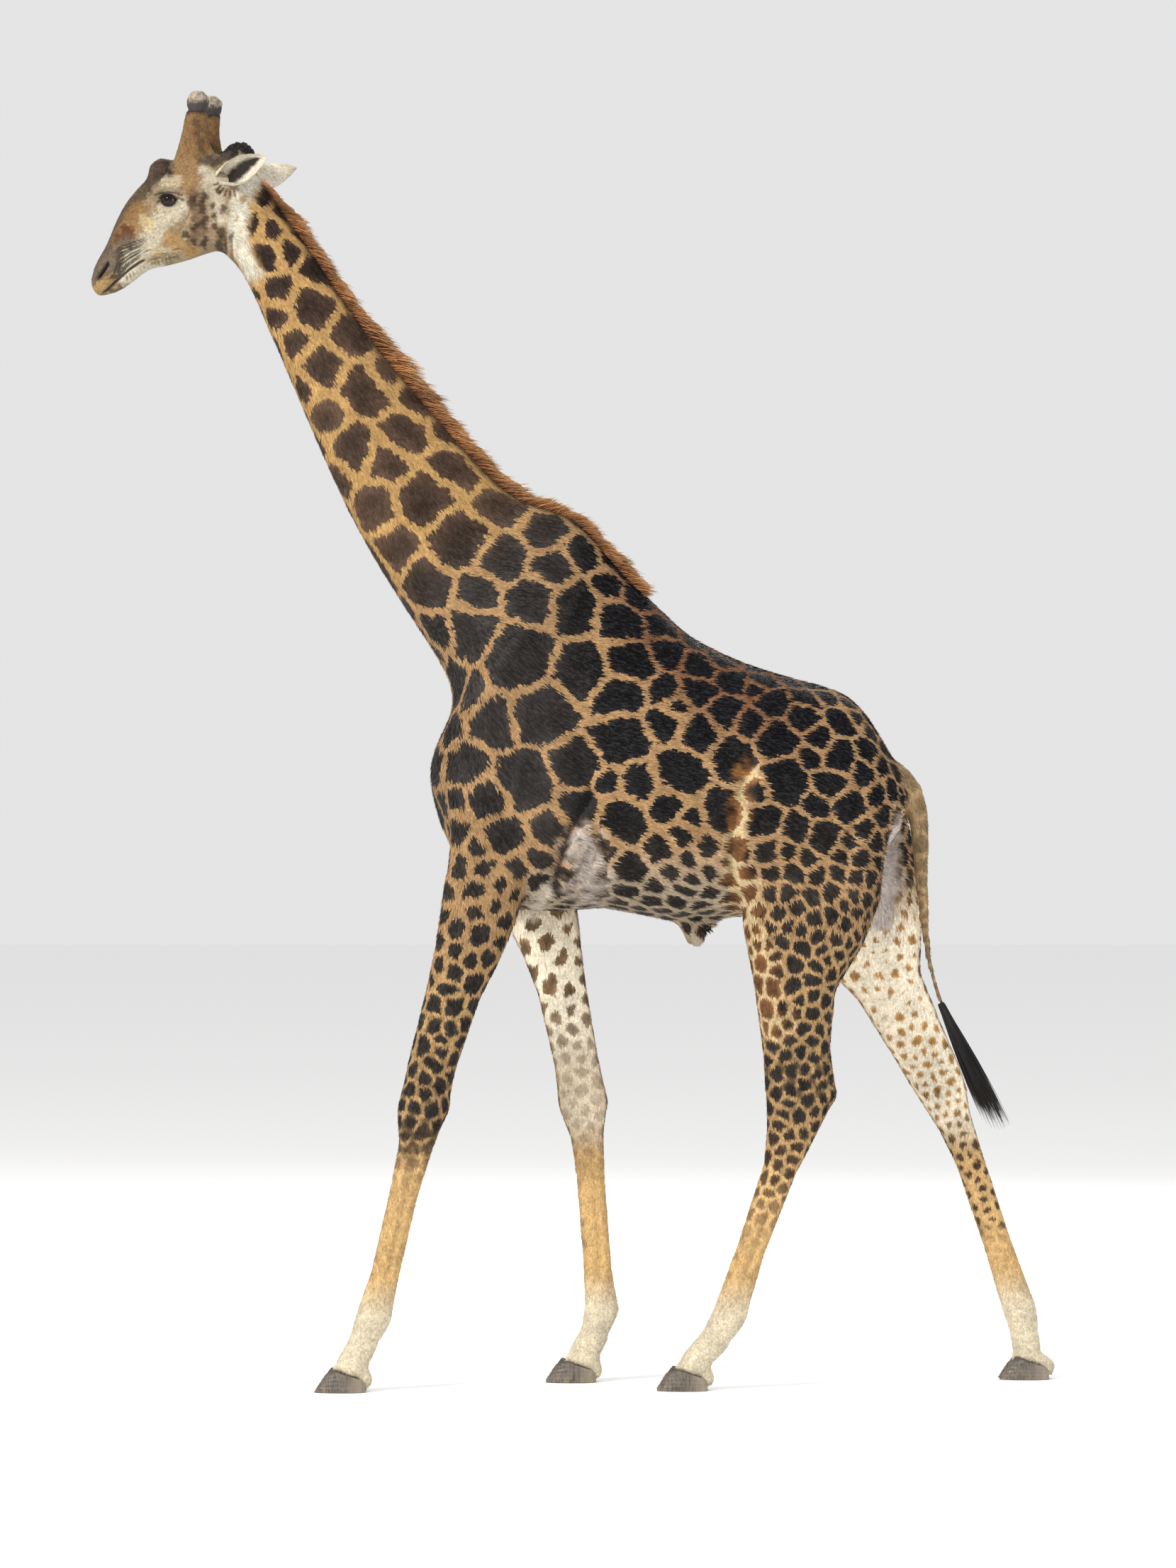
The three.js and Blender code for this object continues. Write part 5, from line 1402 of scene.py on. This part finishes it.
def bed_of(name, places, faces, lie, droop, size):
    """A surface for locks to grow from, with the way they lie and droop and their relative length."""
    mesh = bpy.data.meshes.new(name)
    mesh.from_pydata([tuple(map(float, v)) for v in places], [], faces)
    keep(mesh, "lie", "FLOAT_VECTOR", lie)
    keep(mesh, "droop", "FLOAT_VECTOR", droop)
    keep(mesh, "tuft_size", "FLOAT", size)
    return mesh


def grow_locks(name, bed, core, settings):
    """Locks grown from the bed, with the close hair of the core added as one more body of the same piece."""
    made = grown_on(name, bed, locks, lock_sockets, settings)
    count = len(made.vertices)
    joined = bmesh.new()
    joined.from_mesh(made)
    root, tip = joined.verts.layers.float_vector["root"], joined.verts.layers.float["tip"]
    core_places, core_faces, core_tips = core
    corners = []
    for place, share in zip(core_places, core_tips):
        corner = joined.verts.new([float(v) for v in place])
        corner[root] = corner.co
        corner[tip] = float(share)
        corners.append(corner)
    faces = [joined.faces.new([corners[c] for c in face]) for face in core_faces]
    bmesh.ops.recalc_face_normals(joined, faces=joined.faces)
    for face in faces:
        face.smooth = True
    joined.to_mesh(made)
    joined.free()
    made.materials.clear()
    made.materials.append(settings["Hair"])
    return in_scene(name, made), count


def bake_locks(piece, places, count):
    """The patches of the locks, each running up from root to tip, and the core laid flat under them."""
    shape = [(side, 2 * ring / LOCK_RINGS - 1) for ring in range(LOCK_RINGS + 1) for side in (-1, 0, 1)]
    moved = places.copy()
    moved[:count] += UV_PATCH * np.tile(shape, (count // len(shape), 1))
    bake_map(piece, moved, [(0, 0)])


def top_of(tree, x, y, above=5.0):
    hit = tree.ray_cast(Vector((x, y, above)), Vector((0, 0, -1)))[0]
    return hit.z if hit else None


mane_tree, hide_tree = ray_tree(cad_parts["mane"].data), ray_tree(skin)
stations = []
for x in np.linspace(-1.122, 0.245, MANE_STATIONS):
    top, foot = top_of(mane_tree, x, MANE_Y), top_of(hide_tree, x, MANE_Y)
    if top and foot and top > foot + 0.004:
        stations.append((x, foot, top))
stations = np.array(stations)
st_x, st_foot, st_top = stations.T
for _ in range(6):
    st_foot[1:-1] = (st_foot[:-2] + 2 * st_foot[1:-1] + st_foot[2:]) / 4
slope = np.gradient(st_foot, st_x)
flat, level, steep = np.zeros(len(slope)), np.ones(len(slope)), np.hypot(1, slope)
out_way = np.column_stack([-slope, flat, level]) / steep[:, None]
down_way = np.column_stack([level, flat, slope]) / steep[:, None]
tall = (st_top - st_foot) / steep
far = np.cumsum(np.hypot(np.gradient(st_x), np.gradient(st_foot)))
uneven = 1 + 0.10 * np.sin(far * 41) + 0.07 * np.sin(far * 97 + 1) + 0.05 * np.sin(far * 173 + 2)
tall *= np.clip(uneven, 0.7, 1.18)

places, faces, lies, droops, sizes = [], [], [], [], []
TALLEST = tall.max()
for i in range(len(st_x)):
    for j, share in enumerate((-1, -0.33, 0.33, 1)):
        y = MANE_Y + MANE_BED_HALF * share
        foot = min(top_of(hide_tree, st_x[i], y) or st_foot[i], st_foot[i] + 0.004)
        places.append(np.array([st_x[i], y, foot]) - out_way[i] * 0.008)
        lies.append(out_way[i] * 0.80 + down_way[i] * 0.62 + [0, 0.16 * share, 0])
        droops.append(down_way[i] + 0.15 * out_way[i])
        sizes.append((tall[i] * 1.32 + 0.012) / TALLEST)
        if i and j:
            faces.append((4 * i + j - 5, 4 * i + j - 4, 4 * i + j, 4 * i + j - 1))
mane_bed = bed_of("mane_bed", places, faces, lies, droops, sizes)

core_places, core_tips = [], []
for i in range(len(st_x)):
    base = np.array([st_x[i], MANE_Y, st_foot[i]])
    blade = 0.72 * tall[i] * (1 if 0 < i < len(st_x) - 1 else 0.3)
    for side, up, share in ((-0.011, -0.012, 0.0), (0.011, -0.012, 0.0), (0.007, 0.5 * blade, 0.4),
                            (0.0025, blade, 0.7), (-0.0025, blade, 0.7), (-0.007, 0.5 * blade, 0.4)):
        core_places.append(base + out_way[i] * up + down_way[i] * max(up, 0) * 0.7 + [0, side, 0])
        core_tips.append(share)
core_faces = tube(len(st_x), 6) + [tuple(range(6)), tuple(range(len(core_places) - 6, len(core_places)))]


def hair_paint(name, root_look, middle_look, tip_look, gloss):
    """Long hair: one colour at the root and another at the tip, no two locks alike, with fine strands."""
    made, t, shader = new_paint(name)
    root, tip = named(t, "root")["Vector"], named(t, "tip")["Fac"]
    share = sums(t, "MULTIPLY_ADD", noise(t, root, 60, 2)["Fac"], 0.5, sums(t, "SUBTRACT", tip, 0.25))
    lower = blend(t, between(t, share, 0.0, 0.45), shader_colour(*root_look), shader_colour(*middle_look))
    colour = blend(t, between(t, share, 0.45, 1.0), lower, shader_colour(*tip_look))
    each = noise(t, root, 420, 1)["Fac"]
    colour = scaled(t, colour, between(t, each, 0.3, 0.7, 0.5, 1.5, False))
    clump = noise(t, root, 26, 2)["Fac"]
    colour = scaled(t, colour, between(t, clump, 0.3, 0.7, 0.68, 1.25))
    feed(t, shader.inputs["Base Color"], colour)
    place = node(t, "ShaderNodeTexCoord").outputs["Object"]
    strands = noise(t, place, 900, 2, 0.7)["Fac"]
    feed(t, shader.inputs["Roughness"], between(t, strands, 0.3, 0.7, gloss, gloss + 0.2))
    shader.inputs["Specular IOR Level"].default_value = 0.3
    relief(t, shader, strands, 0.5, 0.0008)
    return made


mane_hair = hair_paint("mane_hair", (96, 62, 40), (176, 116, 68), (214, 166, 114), 0.5)
mane, mane_locks = grow_locks("mane_hair", mane_bed, (core_places, core_faces, core_tips), {
    "Locks per square metre": 62000.0, "Length": float(TALLEST), "Thickness": 0.0062, "Bend": 0.22,
    "Spread": 0.20, "Shortest": 0.62, "Seed": 21, "Hair": mane_hair})
root = read(mane.data.attributes["root"].data, "vector")
unrolled_mane = np.column_stack([(root[:, 0] + 1.2) / 1.6, (root[:, 1] - MANE_Y) / (3 * MANE_BED_HALF) + 0.5])
bake_locks(mane, np.clip(unrolled_mane, 0.01, 0.99), mane_locks)
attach(mane, "root")
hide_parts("mane")

# ---- The tuft of the tail ----
# Long black hair, rooted round the last hand's breadth of the tail and hanging down past the hock in
# separate strands that part towards their ends.
tuft_node = points_of(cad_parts["tail_tuft"].data)
tuft_top = tuft_node[tuft_node[:, 2] > tuft_node[:, 2].max() - 0.012].mean(0)
tuft_end = tuft_node[tuft_node[:, 2].argmin()]
hang = tuft_end - tuft_top
reach_down = np.linalg.norm(hang)
hang /= reach_down
aside = np.cross(hang, [0, 1, 0])
aside /= np.linalg.norm(aside)
TUFT_BED_RINGS, TUFT_BED_SIDES = 10, 8
places, lies, droops, sizes, core_places = [], [], [], [], []
for i in range(TUFT_BED_RINGS):
    t = i / (TUFT_BED_RINGS - 1)
    middle = tuft_top + hang * (reach_down * (0.50 * t - 0.03))
    wide = np.interp(t, [0, 0.3, 0.7, 1], [0.011, 0.014, 0.011, 0.003])
    for j in range(TUFT_BED_SIDES):
        turn = 2 * math.pi * j / TUFT_BED_SIDES
        outwards = aside * math.cos(turn) + np.array([0, 1, 0]) * math.sin(turn)
        places.append(middle + outwards * wide)
        core_places.append(middle + outwards * wide * 1.02)
        lies.append(hang + outwards * 0.10)
        droops.append(outwards * -1.0)
        sizes.append((1 - 0.46 * t) * (1 + 0.10 * math.cos(turn + 1)))
faces = tube(TUFT_BED_RINGS, TUFT_BED_SIDES)
tuft_bed = bed_of("tail_tuft_bed", places, faces, lies, droops, sizes)
ends = [tuple(range(TUFT_BED_SIDES)), tuple(range(len(places) - TUFT_BED_SIDES, len(places)))]
tail_hair = hair_paint("tail_hair", (40, 34, 32), (34, 31, 32), (52, 44, 40), 0.35)
tail_core = (core_places, faces + ends, [0.2] * len(core_places))
tail_tuft, tail_locks = grow_locks("tail_hair", tuft_bed, tail_core, {
    "Locks per square metre": 52000.0, "Length": float(reach_down) * 0.97, "Thickness": 0.0062, "Bend": 0.045,
    "Spread": 0.035, "Shortest": 0.55, "Seed": 4, "Hair": tail_hair})
root = read(tail_tuft.data.attributes["root"].data, "vector") - tuft_top
turn = np.arctan2(root[:, 1], root @ aside) / (2 * math.pi) + 0.5
unrolled_tuft = np.column_stack([(root @ hang) / 0.3 + 0.1, turn])
bake_locks(tail_tuft, np.clip(unrolled_tuft, 0.01, 0.99), tail_locks)
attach(tail_tuft, "root")
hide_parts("tail_tuft")

# ---- The eyes ----
# Each eye is a dark, wet ball with a low bulge in front. The iris is deep brown with fibres that run out from
# a pupil drawn wide, and the white is stained almost black.
EYE_GAZE = np.array([-0.10, 1.0, -0.03])
IRIS_RADIUS = 0.0185


def face_outwards(mesh):
    """Turns every face of a closed mesh outwards."""
    b = bmesh.new()
    b.from_mesh(mesh)
    bmesh.ops.recalc_face_normals(b, faces=b.faces)
    b.to_mesh(mesh)
    b.free()


def eyeball(name, side):
    """One eye of the two, which looks away from the middle of the head."""
    gaze = EYE_GAZE * [1, side, 1] / np.linalg.norm(EYE_GAZE)
    along = np.cross(gaze, [0, 0, 1])
    along /= np.linalg.norm(along)
    up = np.cross(along, gaze)
    middle = EYE_MIDDLE * [1, side, 1]
    rings, spokes = 40, 56
    places, facts, faces = [middle + gaze * (EYE_RADIUS + 0.0012)], [(0, 0, 0)], []
    for i in range(1, rings):
        theta = math.pi * (i / rings) ** 1.25
        bulge = 0.0012 * max(0.0, 1 - (theta / 0.72) ** 2) ** 2
        for j in range(spokes):
            phi = 2 * math.pi * j / spokes
            round_way = along * math.cos(phi) + up * math.sin(phi)
            outwards = gaze * math.cos(theta) + round_way * math.sin(theta)
            places.append(middle + (EYE_RADIUS - 0.0004 + bulge) * outwards)
            facts.append((EYE_RADIUS * theta * math.cos(phi), EYE_RADIUS * theta * math.sin(phi), 0))
    places.append(middle - gaze * EYE_RADIUS)
    facts.append((EYE_RADIUS * math.pi, 0, 0))
    for j in range(spokes):
        k = (j + 1) % spokes
        faces.append((0, 1 + j, 1 + k))
        last = 1 + (rings - 2) * spokes
        faces.append((last + k, last + j, len(places) - 1))
        for i in range(rings - 2):
            row = 1 + i * spokes
            faces.append((row + j, row + spokes + j, row + spokes + k, row + k))
    ball = solid_piece(name + "ball", turned_head(np.array(places)), faces)
    keep(ball.data, "on_eye", "FLOAT_VECTOR", facts)
    face_outwards(ball.data)
    return ball


eye_wet, t, shader = new_paint("eye_wet")
place = named(t, "on_eye")["Vector"]
across, up, _ = apart(t, place)
from_middle = vectors(t, "LENGTH", place)
stretched = node(t, "ShaderNodeCombineXYZ", {0: sums(t, "MULTIPLY", across, 0.62), 1: up}).outputs[0]
pupil = between(t, vectors(t, "LENGTH", stretched), 0.0050, 0.0062, 1, 0)
around = sums(t, "MULTIPLY", sums(t, "ARCTAN2", up, across), 9.0)
spoke_place = node(t, "ShaderNodeCombineXYZ", {0: around, 1: sums(t, "MULTIPLY", from_middle, 90.0)})
fibres = noise(t, spoke_place.outputs[0], 3.0, 3, 0.6)["Fac"]
fibre = between(t, fibres, 0.3, 0.7, smooth=False)
iris = blend(t, fibre, (0.004, 0.002, 0.0015, 1), (0.022, 0.010, 0.005, 1))
white = blend(t, noise(t, place, 240, 3)["Fac"], (0.010, 0.008, 0.008, 1), (0.040, 0.028, 0.024, 1))
rim = between(t, from_middle, IRIS_RADIUS - 0.0016, IRIS_RADIUS)
colour = blend(t, rim, iris, (0.004, 0.003, 0.003, 1))
colour = blend(t, between(t, from_middle, IRIS_RADIUS, IRIS_RADIUS + 0.0022), colour, white)
colour = blend(t, pupil, colour, (0.001, 0.001, 0.001, 1))
feed(t, shader.inputs["Base Color"], colour)
shader.inputs["Roughness"].default_value = 0.28
shader.inputs["Coat Weight"].default_value = 1.0
shader.inputs["Coat Roughness"].default_value = 0.02
shader.inputs["Coat IOR"].default_value = 1.33
shader.inputs["Specular IOR Level"].default_value = 0.0
for side, name in ((-1, "left_eye"), (1, "right_eye")):
    ball = eyeball(name, side)
    finish(ball, eye_wet)
    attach(ball, "root")
    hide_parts(name)

# ---- The lashes ----
# Long dark lashes stand out from the edge of each upper lid and curl down over the eye. A few short ones
# line the lower lid.
LASH_RINGS, LASH_SIDES = 6, 3
LASH_THICK = 0.00062
lash_rng = np.random.default_rng(12)


def lashes(side):
    """Tapered curved hairs for one eye, as places, faces, root places and shares of length."""
    places, faces, roots, shares = [], [], [], []
    for upper, count, long in ((True, 72, 0.021), (False, 34, 0.009)):
        for n in range(count):
            turn = math.radians(np.interp(n / (count - 1), [0, 1], [8, 172] if upper else [200, 345]))
            turn += lash_rng.uniform(-0.03, 0.03)
            across = LID_HALF * math.cos(turn) - 0.0015
            up = (LID_ABOVE if upper else -LID_BELOW) * abs(math.sin(turn)) ** (0.55 if upper else 1)
            up += -LID_TILT * across - 0.001
            depth = math.sqrt(max(EYE_RADIUS ** 2 - across ** 2 - up ** 2, 1e-6)) + 0.003
            start = EYE_MIDDLE + [across, depth, up]
            away = np.array([across * 12, 1.0, (0.25 if upper else -0.5)]) + lash_rng.uniform(-0.14, 0.14, 3)
            away /= np.linalg.norm(away)
            length = long * lash_rng.uniform(0.7, 1.1)
            fall = np.array([across * 8, 0.1, -1.0 if upper else -0.4])
            first = len(places)
            for i, s in enumerate(np.linspace(0, 1, LASH_RINGS)):
                middle = start + away * length * s + fall * length * 0.62 * s * s
                thick = LASH_THICK * (1 - 0.9 * i / (LASH_RINGS - 1))
                for k in range(LASH_SIDES):
                    a = 2 * math.pi * k / LASH_SIDES
                    places.append(middle + [thick * math.cos(a), 0, thick * math.sin(a)])
                    roots.append(start)
                    shares.append(i / (LASH_RINGS - 1))
            faces += tube(LASH_RINGS, LASH_SIDES, first)
            faces.append(tuple(range(first, first + LASH_SIDES)))
            faces.append(tuple(range(len(places) - LASH_SIDES, len(places))))
    return np.array(places) * [1, side, 1], faces, np.array(roots) * [1, side, 1], shares


lash_hair = hair_paint("lash_hair", (36, 30, 28), (30, 26, 25), (60, 46, 36), 0.4)
for side, name in ((-1, "left_lashes"), (1, "right_lashes")):
    places, faces, roots, shares = lashes(side)
    hairs = solid_piece(name, turned_head(places), faces)
    keep(hairs.data, "root", "FLOAT_VECTOR", turned_head(roots))
    keep(hairs.data, "tip", "FLOAT", shares)
    face_outwards(hairs.data)
    away = roots - EYE_MIDDLE * [1, side, 1]
    spread = np.column_stack([away[:, 0] / 0.07 + 0.5, away[:, 2] / 0.07 + 0.5])
    shape = [(k - 1, 2 * i / (LASH_RINGS - 1) - 1) for i in range(LASH_RINGS) for k in range(LASH_SIDES)]
    bake_map(hairs, spread, shape)
    hairs.data.materials.append(lash_hair)
    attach(hairs, "root")

# ---- The horn knobs ----
# The hair has worn off the flat tops of the horns. What is left is bare, creased, lumpy skin over bone, grey
# and tan on top and nearly black where it meets the hair of the shaft.
KNOB_STEP = 0.0022


def lumpy(p, scale, seed):
    """Soft uneven height, from a few crossed waves."""
    a = p * scale + seed
    waves = np.sin(a[:, 0] + 1.7 * np.sin(a[:, 1] * 1.3)) * np.sin(a[:, 1] * 0.9 + 1.5 * np.sin(a[:, 2]))
    return waves + 0.5 * np.sin(a[:, 2] * 1.9 + 2 * np.sin(a[:, 0] * 1.4)) * np.sin(a[:, 1] * 2.1)


knob_skin, t, shader = new_paint("knob_skin")
place = node(t, "ShaderNodeTexCoord").outputs["Object"]
height = apart(t, place)["Z"]
grain = noise(t, place, 260, 4, 0.7)["Fac"]
blotch = noise(t, place, 70, 3, 0.6)["Fac"]
rise = sums(t, "MULTIPLY_ADD", blotch, 0.030, sums(t, "SUBTRACT", height, 0.015))
pale = between(t, rise, 4.566, 4.588)
grey = blend(t, between(t, blotch, 0.35, 0.65), shader_colour(128, 118, 104), shader_colour(196, 176, 152))
colour = blend(t, pale, shader_colour(58, 50, 46), grey)
colour = scaled(t, colour, between(t, grain, 0.3, 0.7, 0.6, 1.35, False))
feed(t, shader.inputs["Base Color"], colour)
feed(t, shader.inputs["Roughness"], between(t, grain, 0.3, 0.7, 0.6, 0.85))
relief(t, shader, sums(t, "MULTIPLY_ADD", blotch, 0.6, grain), 0.7, 0.0016)
for name in ("left_horn_cap", "right_horn_cap"):
    mesh = one_skin(name, [name], KNOB_STEP)
    round_off(mesh, 10, 10)
    p, out = points_of(mesh), normals_of(mesh)
    low, high = p.min(0), p.max(0)
    middle = (low + high) / 2
    down = ramp(low[2] + 0.030, low[2], p[:, 2])
    lift = 0.0016 * lumpy(p, 95, len(name)) + 0.0007 * lumpy(p, 260, 2)
    crack = np.abs(np.sin(p[:, 0] * 70 + 1.6 * np.sin(p[:, 1] * 95 + p[:, 2] * 60)))
    lift -= 0.0016 * (1 - ramp(0.0, 0.16, crack))
    p += out * lift[:, None]
    rounder = (p - middle) / ((high - low) / 2)
    corner = ramp(0.8, 1.5, np.linalg.norm(rounder, axis=1))
    p = middle + rounder * ((high - low) / 2) * (1 - 0.10 * corner)[:, None]
    p[:, :2] = middle[:2] + (p[:, :2] - middle[:2]) * (1 - 0.17 * down * down)[:, None]
    p[:, 2] -= 0.012 * down
    p[:, 2] = np.minimum(p[:, 2], high[2] - 0.0004)
    put_points(mesh, p)
    knob = in_scene(name.replace("cap", "knob"), mesh)
    finish(knob, knob_skin)
    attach(knob, "root")
    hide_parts(name)

# ---- The hooves ----
# Each foot stands on two claws of horn, with rings of growth round the wall, fine upright grain, worn and
# chipped at the ground, and softer pale horn at the heel.
HOOF_STEP = 0.0032

hoof_horn, t, shader = new_paint("hoof_horn")
place = node(t, "ShaderNodeTexCoord").outputs["Object"]
streak_place = node(t, "ShaderNodeMapping", {"Vector": place, "Scale": (1, 1, 0.12)}).outputs[0]
streaks = noise(t, streak_place, 220, 3, 0.65)["Fac"]
mud = noise(t, place, 38, 4, 0.6)["Fac"]
heelwards, upwards, _ = apart(t, named(t, "hoof_place")["Vector"])
colour = blend(t, between(t, streaks, 0.3, 0.7), shader_colour(64, 57, 52), shader_colour(128, 116, 104))
colour = blend(t, between(t, heelwards, 0.55, 0.95, 0, 0.75), colour, shader_colour(176, 160, 138))
colour = blend(t, between(t, upwards, 0.78, 0.98, 0, 0.85), colour, shader_colour(52, 44, 40))
dusty = sums(t, "MULTIPLY", between(t, mud, 0.42, 0.66), between(t, upwards, 0.0, 0.7, 0.75, 0.2))
colour = blend(t, dusty, colour, shader_colour(150, 134, 112))
feed(t, shader.inputs["Base Color"], colour)
feed(t, shader.inputs["Roughness"], between(t, mud, 0.35, 0.65, 0.42, 0.75))
relief(t, shader, sums(t, "MULTIPLY_ADD", mud, 0.5, streaks), 0.6, 0.0012)
for name in [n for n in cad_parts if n.endswith("hoof")]:
    mesh = one_skin(name, [name], HOOF_STEP)
    round_off(mesh, 5, 8)
    p, out = points_of(mesh), normals_of(mesh)
    low, high = p.min(0), p.max(0)
    toe_to_heel = (p[:, 0] - low[0]) / (high[0] - low[0])
    # the line where hair meets horn slopes down to the heel, and the rings of growth run level with it
    upwards = p[:, 2] / high[2] / np.interp(toe_to_heel, [0, 0.45, 1], [0.75, 1.0, 0.72])
    side = 1 - ramp(0.35, 0.85, np.abs(out[:, 2]))
    rings = np.sin(upwards * 34 + 1.3 * np.sin(toe_to_heel * 4)) + 0.5 * np.sin(upwards * 71 + 2)
    lift = 0.00075 * rings * side * (1 - 0.6 * ramp(0.7, 1.0, toe_to_heel))
    lift -= 0.0020 * bump(upwards, 0.90, 0.06) * side
    chips = ramp(0.6, 1.5, lumpy(p, 150, 3 + len(name))) * ramp(0.014, 0.003, p[:, 2])
    lift -= 0.0022 * chips + 0.0005 * lumpy(p, 60, 1) * 0.5
    p += out * lift[:, None]
    p[:, :2] = np.clip(p[:, :2], low[:2] + 0.0003, high[:2] - 0.0003)
    p[:, 2] = np.maximum(p[:, 2], 0.0002)
    put_points(mesh, p)
    keep(mesh, "hoof_place", "FLOAT_VECTOR", np.column_stack([toe_to_heel, upwards, side]))
    hoof = in_scene(name + "_horn", mesh)
    finish(hoof, hoof_horn)
    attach(hoof, "root")
    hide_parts(name)
